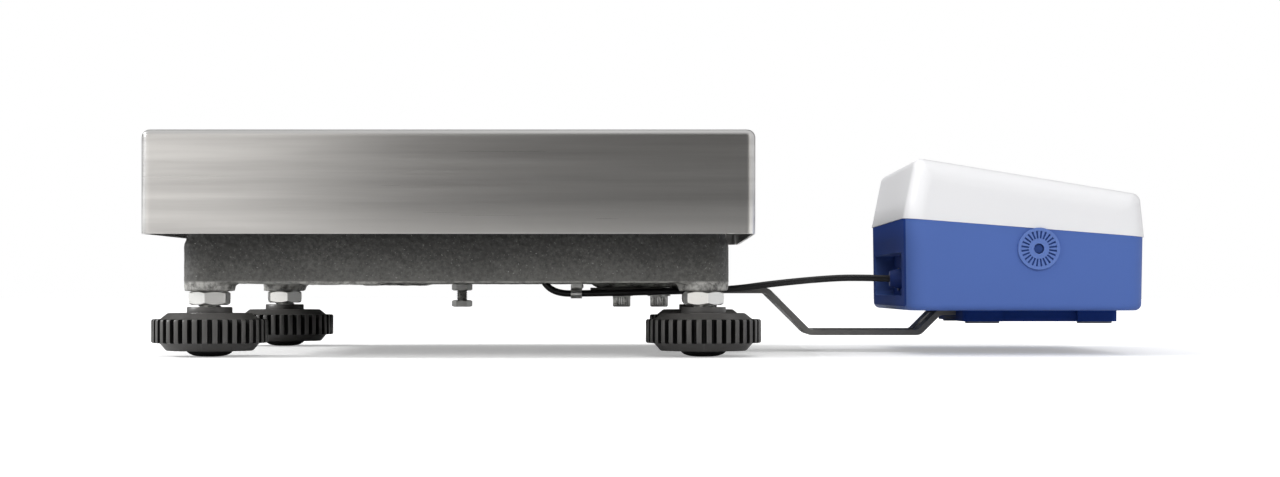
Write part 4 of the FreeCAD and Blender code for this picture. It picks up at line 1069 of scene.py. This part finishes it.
@dataclass
class Foot:
    """One levelling foot: ribbed knob, stud with its thread, rubber pad."""

    finishes: Finishes
    order: int
    ribs: int = 36
    radius: float = 29.5
    core: float = 25.0
    groove: Point2 = (7.0, 19.2)
    rib_share: float = 0.49
    rib_slope: float = 0.18
    stud_radius: float = 5.95
    pitch: float = 1.75

    def build(self) -> None:
        """Build the three pieces and put them on their bodies."""
        here = axis_of(f"foot_stud_{self.order}")
        for thing, slot, body, node, *names in (
                (self._knob(), "knob_plastic", "foot_{}_knob", "foot_knob", "knob_black", "knob_groove_shade"),
                (self._stud(), "zinc_steel", "foot_{}", "foot_stud", "zinc"),
                (self._pad(), "black_rubber", "foot_{}_knob", "foot_pad", "rubber_black")):
            self.finishes.fit(move(thing, here), slot, body.format(self.order),
                              f"{node}_{self.order}", *names)

    def _rib_radius(self, radius: float, height: float, angle: float) -> float:
        """Dip the radius to the core between the ribs.

        Args:
            radius: the row's radius.
            height: its height; not used.
            angle: the column's angle.

        Returns:
            The radius there.
        """
        if radius <= self.core + 0.6:
            return radius
        across = ripple(angle*self.ribs/math.tau)
        share = min(1.0, max(0.0, (across - self.rib_share)/self.rib_slope))
        return self.core + 0.2 + (radius - self.core - 0.2)*(1 - share)

    def _in_groove(self, place: Vector) -> bool:
        """Tell whether a place on the knob, about the origin, lies between two ribs."""
        radius = math.hypot(place.x, place.y)/MM
        return (self.groove[0] < place.z/MM < self.groove[1]
                and self.core - 0.3 < radius < self.radius - 1.2)

    def _knob(self) -> Thing:
        """Turn the ribbed knob with its hub, with painted shade on the faces between its ribs.

        Returns:
            The knob.
        """
        profile = [
            (6.1, 9.0), (6.1, 3.2), (11.9, 3.2), (12.2, 3.0), (21.6, 3.0), (22.2, 3.3), (25.2, 6.8),
            (25.4, 7.0), (28.6, 7.0), (29.2, 7.2), (29.5, 7.8), (29.5, 13.0), (29.5, 18.2),
            (29.2, 18.9), (28.6, 19.1), (25.4, 19.1), (24.9, 19.3), (21.6, 21.9), (21.0, 22.2),
            (11.9, 22.2), (11.5, 22.5), (11.5, 25.0), (11.2, 25.3), (6.1, 25.3), (6.1, 9.0),
        ]
        knob = lathe(f"knob_{self.order}", profile, self.ribs*12, self._rib_radius, 50.0, True)
        # painted shade: faces between the ribs take the near-black groove finish
        for face in knob.data.polygons:
            face.material_index = int(self._in_groove(face.center))
        return knob

    def _stud(self) -> Thing:
        """Turn the stud with its thread."""
        low, high = corners(f"foot_stud_{self.order}")
        return threaded(f"stud_{self.order}", self.stud_radius, low.z, high.z, self.pitch)

    def _pad(self) -> Thing:
        """Turn the domed rubber pad."""
        profile = [(0.4, 0.0), (4.2, 0.0), (6.4, 0.2), (8.3, 0.6), (9.8, 1.15), (10.9, 1.85), (11.6, 2.6),
                   (11.8, 3.15)]
        return lathe(f"pad_{self.order}", profile, 48)


@dataclass
class Base:
    """The cast base, its nuts, the load cell group and the stop."""

    finishes: Finishes
    voxel: float = 0.0014
    rough_under: float = 0.00050
    rough_side: float = 0.00014
    under_top: float = 0.0055
    under_fade: float = 0.003
    coarse: Point2 = (150.0, 0.8)
    fine: Point2 = (520.0, 0.5)
    sink: float = 0.35
    nut_across: float = 19.0
    nut_bore: float = 6.1
    nut_turns: tuple[float, ...] = (26, 46.5, 42, 34)
    stop_across: float = 10.0
    stop_head: float = 3.7
    stop_radius: float = 2.95
    cap_radius: float = 4.98
    knurls: int = 30
    knurl_depth: float = 0.34
    knurled: Point2 = (1.0, 5.5)
    knurl_floor: Point2 = (4.5, 4.8)

    def build(self) -> None:
        """Build the casting, the nuts and the screws, and dress the rest."""
        for thing, slot, node, *names in (
                (self._casting(), "cast_paint", "base_frame", "cast_grey"),
                (self._lock_nuts(), "zinc_steel", "lock_nuts", "zinc"),
                (self._stop_screw(), "zinc_steel", "overload_screw", "zinc_dark"),
                (self._stop_nut(), "zinc_steel", "overload_nut", "zinc_dark"),
                (self._cap_screws(), "zinc_steel", "bracket_screws", "zinc", "zinc_knurl_shade")):
            self.finishes.fit(thing, slot, "base", node, *names)
        self.finishes.dress_nodes({
            "carrier_frame": "carrier_grey", "load_cell": "cell_alloy", "rubber_buffers": "rubber_black",
            "cell_floor_spacer": "zinc", "cell_carrier_spacer": "zinc", "cell_floor_screws": "zinc",
            "cell_carrier_screws": "zinc", "display_bracket": "strip_steel",
            "bracket_washers": "zinc_dark", "cable_clip": "zinc", "clip_screw": "zinc"})

    def _casting(self) -> Thing:
        """Grow the casting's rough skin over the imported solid.

        Returns:
            The casting.
        """
        source = copy_of("base_frame", "casting_source")
        remesh = source.modifiers.new("skin", "REMESH")
        remesh.mode = "VOXEL"
        remesh.voxel_size = self.voxel
        ease = source.modifiers.new("ease", "SMOOTH")
        ease.factor = 0.5
        ease.iterations = 2
        evaluated = source.evaluated_get(bpy.context.evaluated_depsgraph_get())
        shape = bmesh.new()
        shape.from_mesh(evaluated.to_mesh())
        evaluated.to_mesh_clear()
        bpy.data.objects.remove(source)
        shape.normal_update()
        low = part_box("base_frame")[0][2] + self.under_top
        shifts = []
        for vertex in shape.verts:
            under = min(1.0, max(0.0, (low - vertex.co.z)/self.under_fade))
            depth = self.rough_side + (self.rough_under - self.rough_side)*under
            rough = sum(share*noise.noise(vertex.co*scale) for scale, share in (self.coarse, self.fine))
            shifts.append(vertex.normal*depth*(rough - self.sink))
        for vertex, shift in zip(shape.verts, shifts):
            vertex.co += shift
        return finish_mesh("casting", shape, 80.0)

    def _lock_nuts(self) -> Thing:
        """Turn the four lock nuts under the lugs, each at its own angle.

        Returns:
            The nuts.
        """
        low, high = corners("lock_nuts")
        nuts = []
        for order, turn in enumerate(self.nut_turns, start=1):
            nut = hex_nut(f"nut_{order}", self.nut_across, low.z, high.z, self.nut_bore)
            nuts.append(move(nut, axis_of(f"foot_stud_{order}"),
                             Matrix.Rotation(math.radians(turn), 4, "Z")))
        return joined("nuts", nuts)

    def _stop_screw(self) -> Thing:
        """Turn the stop screw: a small hexagon head below and its thread.

        Returns:
            The screw.
        """
        low, high = corners("overload_screw")
        head = hex_nut("stop_head", self.stop_across, low.z, low.z + self.stop_head, 0.0)
        shank = threaded("stop_shank", self.stop_radius, low.z + self.stop_head - 0.3, high.z, 1.0)
        return move(joined("stop_screw", [head, shank]), axis_of("overload_screw"))

    def _stop_nut(self) -> Thing:
        """Turn the thin nut of the stop screw."""
        low, high = corners("overload_nut")
        return move(hex_nut("stop_nut", self.stop_across, low.z, high.z, 3.0), axis_of("overload_nut"))

    def _cap_screws(self) -> Thing:
        """Turn the two cap screws of the strip, knurled, with their sockets and painted shade on the floors
        between the knurls.

        Returns:
            The screws.
        """
        low, high = corners("bracket_screws")

        def knurl(radius: float, height: float, angle: float) -> float:
            """Dip the head's side between its knurls.

            Args:
                radius: the row's radius.
                height: its height.
                angle: the column's angle.

            Returns:
                The radius there.
            """
            if radius < self.cap_radius or not self.knurled[0] < height - low.z < self.knurled[1]:
                return radius
            return radius - self.knurl_depth*ripple(angle*self.knurls/math.tau)

        rows = [(2.4, 3.0), (2.4, 0.3), (2.7, 0.0), (4.3, 0.0), (4.75, 0.3),
                *[(self.cap_radius, up) for up in (0.8, 1.1, 3.2, 5.3, 5.7)],
                (4.9, 6.0), (3.0, 6.0), (3.0, high.z - low.z)]
        screws = []
        for end in (low.x + 5, high.x - 5):
            screw = lathe("cap", [(radius, low.z + up) for radius, up in rows], self.knurls*6, knurl, 30.0)
            # painted shade: the floors between the knurls take the dark knurl finish
            for face in screw.data.polygons:
                out = math.hypot(face.center.x, face.center.y)/MM
                upright = self.knurled[0] < face.center.z/MM - low.z < self.knurled[1]
                face.material_index = int(upright and self.knurl_floor[0] < out < self.knurl_floor[1])
            screws.append(move(screw, (end*MM, axis_of("bracket_screws")[1], 0.0)))
        return joined("cap_screws", screws)


def prisms(name: str, outlines: Sequence[Sequence[Point2]], low: float, high: float) -> Thing:
    """Raise flat outlines to thin plates that face up.

    Args:
        name: the object's name.
        outlines: each outline's points, right and up as a reader sees them, in millimetres.
        low: where the plates start along Z.
        high: where they end.

    Returns:
        The object, about the origin, with up along -X and right along +Y.
    """
    shape = bmesh.new()
    for outline in outlines:
        skin(shape, [[Vector((-up, right, height))*MM for right, up in outline] for height in (low, high)])
    return finish_mesh(name, shape, 30.0)


def bar(start: Point2, end: Point2, thick: float) -> list[Point2]:
    """One pointed bar between two points, as a segment of a digit.

    Args:
        start: where it starts.
        end: where it ends.
        thick: its width.

    Returns:
        Its outline.
    """
    (ax, ay), (bx, by) = start, end
    length = math.hypot(bx - ax, by - ay)
    ux, uy = (bx - ax)/length, (by - ay)/length
    half = thick/2
    return [(ax, ay), (ax + (ux + uy)*half, ay + (uy - ux)*half),
            (bx + (uy - ux)*half, by - (ux + uy)*half), (bx, by),
            (bx - (ux + uy)*half, by + (ux - uy)*half), (ax + (ux - uy)*half, ay + (uy + ux)*half)]


def arc_band(middle: Point2, radius: float, thick: float, start: float, end: float) -> list[Point2]:
    """A band along an arc.

    Args:
        middle: the arc's middle.
        radius: its mean radius.
        thick: its width.
        start: where it starts, in degrees.
        end: where it ends.

    Returns:
        Its outline.
    """
    turns = [math.radians(start + (end - start)*i/20) for i in range(21)]
    return [(middle[0] + reach*math.cos(turn), middle[1] + reach*math.sin(turn))
            for reach, order in ((radius + thick/2, turns), (radius - thick/2, turns[::-1]))
            for turn in order]


@dataclass
class Display:
    """The display unit with its shells, panel, keys and what it stands on."""

    finishes: Finishes
    tilt: float = 9.3
    top_middle: Point3 = (0.1952, 0.0, 0.093579)
    window_at: float = -20.0
    key_at: float = 27.0
    key_pitch: float = 30.0
    rosette: Point2 = (0.20005, 0.0554)
    rosette_radius: float = 0.0112
    slot_face: float = 0.1121
    tooth_face: float = 0.1128
    plug_face: float = 0.1112
    side_facing: float = 0.9
    back_facing: float = 0.93
    back_from: float = 0.03
    glass_half: Point2 = (68.0, 23.0)
    glass_level: Point2 = (-6.5, -2.8)
    digit: Point3 = (12.0, 24.0, 2.7)
    digit_pitch: float = 20.0
    digit_gap: float = 0.35
    digit_level: Point2 = (-2.79, -2.70)
    line: float = 0.95
    mark_level: Point2 = (0.45, 0.58)
    keys: tuple[str, ...] = ("power", "zero", "tare", "units", "count", "print")

    def build(self) -> None:
        """Build the shells, the digits and the key marks, and dress the rest."""
        self._lower_shell()
        self._plugs()
        self._module()
        self._digits()
        for order, key in enumerate(self.keys):
            self._mark(order, key)
            self.finishes.dress_nodes({f"key_{key}": "key_grey"})
        # painted shade: the foot plate under the housing takes the darker sole finish
        self.finishes.dress_nodes({
            "upper_housing": "shell_white", "display_foot_plate": "sole_blue_shade",
            "display_pads": "rubber_grey", "foot_plate_screws": "zinc", "housing_screws": "zinc",
            "front_panel": "panel_film", "lcd_window": "window_clear", "circuit_board": "board_green",
            "key_switches": "case_dark", "battery_pack": "case_dark", "supply_inlet": "case_dark",
            "cable_gland": "gland_blue", "gland_nut": "gland_blue"})

    def _on_slope(self, thing: Thing) -> Thing:
        """Lay a mesh on the sloping top."""
        return move(thing, self.top_middle, Matrix.Rotation(math.radians(self.tilt), 4, "Y"))

    def _lower_shell(self) -> None:
        """The lower shell, with painted shade in the slots of its toothed bosses, a painted highlight on
        their tooth faces, and painted shade on its back face.
        """
        shell = copy_of("lower_housing", "lower_shell")
        x, z = self.rosette
        for face in shell.data.polygons:
            middle = face.center
            out = abs(middle.y)
            # painted shade: faces turned to the back take the darker back finish
            if face.normal.x < -self.back_facing and middle.x < x - self.back_from:
                face.material_index = 3
            # painted shade in the boss slots and a painted highlight on the tooth faces
            in_ring = math.hypot(middle.x - x, middle.z - z) <= self.rosette_radius
            if in_ring and out >= self.slot_face and abs(face.normal.y) >= self.side_facing:
                face.material_index = 1 if out < self.tooth_face else 2
        self.finishes.fit(shell, "blue_plastic", "base", "lower_housing", "shell_blue", "shell_slot_shade",
                          "shell_tooth_highlight", "shell_back_shade")

    def _plugs(self) -> None:
        """The small blue plugs in the middle of the two toothed bosses, in the painted shade tone of the
        slots.
        """
        x, z = self.rosette
        plugs = []
        for side in (-1, 1):
            plug = lathe("plug", [(0.05, -0.9), (2.35, -0.9), (2.35, 0.0), (1.2, 0.15), (0.05, 0.2)], 32)
            plugs.append(move(plug, (x, side*self.plug_face, z),
                              Matrix.Rotation(math.radians(-90*side), 4, "X")))
        self.finishes.fit(joined("boss_plugs", plugs), "blue_plastic", "base", "", "shell_slot_shade")

    def _module(self) -> None:
        """The display's glass, a hair under the window."""
        wide, high = self.glass_half
        outline = [(a*wide, b*high - self.window_at) for a, b in CORNERS]
        block = self._on_slope(prisms("lcd_block", [outline], *self.glass_level))
        self.finishes.fit(block, "display_glass", "base", "lcd_module", "lcd_field")

    def _digits(self) -> None:
        """Five digits at zero, with the point after the second, and the small stable mark."""
        wide, high, thick = self.digit
        low = -self.window_at - high/2
        gap = self.digit_gap
        outlines: list[list[Point2]] = []
        for order in range(5):
            left = (order - 2.5)*self.digit_pitch + 1
            right = left + wide
            for x in (left, right):
                outlines.append(bar((x, low + gap), (x, low + high/2 - gap), thick))
                outlines.append(bar((x, low + high/2 + gap), (x, low + high - gap), thick))
            for y in (low, low + high):
                outlines.append(bar((left + gap, y), (right - gap, y), thick))
        spot = -1.5*self.digit_pitch + 1 + wide + 3.8
        outlines.append([(spot + a*1.2, low + b*1.2) for a, b in CORNERS])
        outlines.append(arc_band((-59.5, low + 3), 2.6, 0.9, 0, 358))
        digits = self._on_slope(prisms("lcd_digits", outlines, *self.digit_level))
        self.finishes.fit(digits, "display_glass", "base", "", "lcd_segment")

    def _mark(self, order: int, key: str) -> None:
        """Build the plain raised mark on one key.

        Args:
            order: the key's place in the row.
            key: its name.
        """
        strokes: dict[str, list[tuple[Point2, Point2]]] = {
            "power": [((0, 0.6), (0, 4.0))],
            "tare": [((-3.2, 2.6), (3.2, 2.6)), ((0, 2.3), (0, -3.2))],
            "units": [((-4.4, 1.4), (2.6, 1.4)), ((2.0, 3.0), (4.2, 1.4)), ((-2.6, -1.4), (4.4, -1.4)),
                      ((-2.0, -3.0), (-4.2, -1.4))],
            "print": [((-3.4, -2.8), (3.4, -2.8)), ((0, 3.2), (0, -1.4)), ((-2.2, 0.6), (0, -1.6)),
                      ((2.2, 0.6), (0, -1.6))],
        }
        shapes: dict[str, list[list[Point2]]] = {
            "power": [arc_band((0, 0), 2.6, self.line, -235, 55)],
            "zero": [arc_band((0, 0), 2.9, self.line, 0, 358), arc_band((0, 0), 0.5, 0.9, 0, 358)],
            "count": [bar((x, y), (x + 1.5, y), 1.5) for x in (-3.6, -0.75, 2.1) for y in (-1.8, 1.8)],
        }
        outlines = shapes.get(key, []) + [bar(start, end, self.line) for start, end in strokes.get(key, [])]
        right = (order - 2.5)*self.key_pitch
        placed = [[(u + right, v - self.key_at) for u, v in outline] for outline in outlines]
        mark = self._on_slope(prisms(f"mark_{key}", placed, *self.mark_level))
        self.finishes.fit(mark, "key_rubber", f"{key}_key", "", "mark_blue")


@dataclass
class Cable:
    """The cable from the cell under the base to the gland."""

    finishes: Finishes
    diameter: float = 0.0036
    route: tuple[Point3, ...] = (
        (-0.062, -0.0125, 0.064), (-0.062, -0.038, 0.064), (-0.062, -0.038, 0.0319),
        (-0.029, -0.038, 0.0322), (0.009, -0.038, 0.0333), (0.042, -0.0382, 0.0342),
        (0.066, -0.0384, 0.0376), (0.098, -0.0378, 0.0406), (0.116, -0.0372, 0.0407),
        (0.128, -0.037, 0.0402), (0.139, -0.037, 0.0402),
    )
    length: float = 0.2478

    def build(self) -> None:
        """Lay the cable on one smooth curve."""
        data = bpy.data.curves.new("cable", "CURVE")
        data.dimensions = "3D"
        data.bevel_depth = self.diameter/2
        data.bevel_resolution = 6
        data.resolution_u = 16
        data.use_fill_caps = True
        spline = data.splines.new("NURBS")
        spline.points.add(len(self.route) - 1)
        for point, place in zip(spline.points, self.route):
            point.co = (*place, 1.0)
        spline.order_u = 3
        spline.use_endpoint_u = True
        cable = put("cable", data)
        self.finishes.fit(cable, "cable_jacket", "base", "load_cell_cable", "cable_black")
        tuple(self.route[0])


def main() -> None:
    """Build the studio and every sub-assembly in order."""
    logging.basicConfig(level=logging.INFO)
    finishes = Finishes(Shared.build())
    pieces = {"studio": Studio(), "finishes": finishes, "cable": Cable(finishes),
              "weighing plate": Plate(finishes),
              **{f"foot {order}": Foot(finishes, order) for order in range(1, 5)},
              "base": Base(finishes), "display": Display(finishes)}
    for name, piece in pieces.items():
        piece.build()
        LOG.info("%s built", name)


if __name__ == "__main__":
    main()
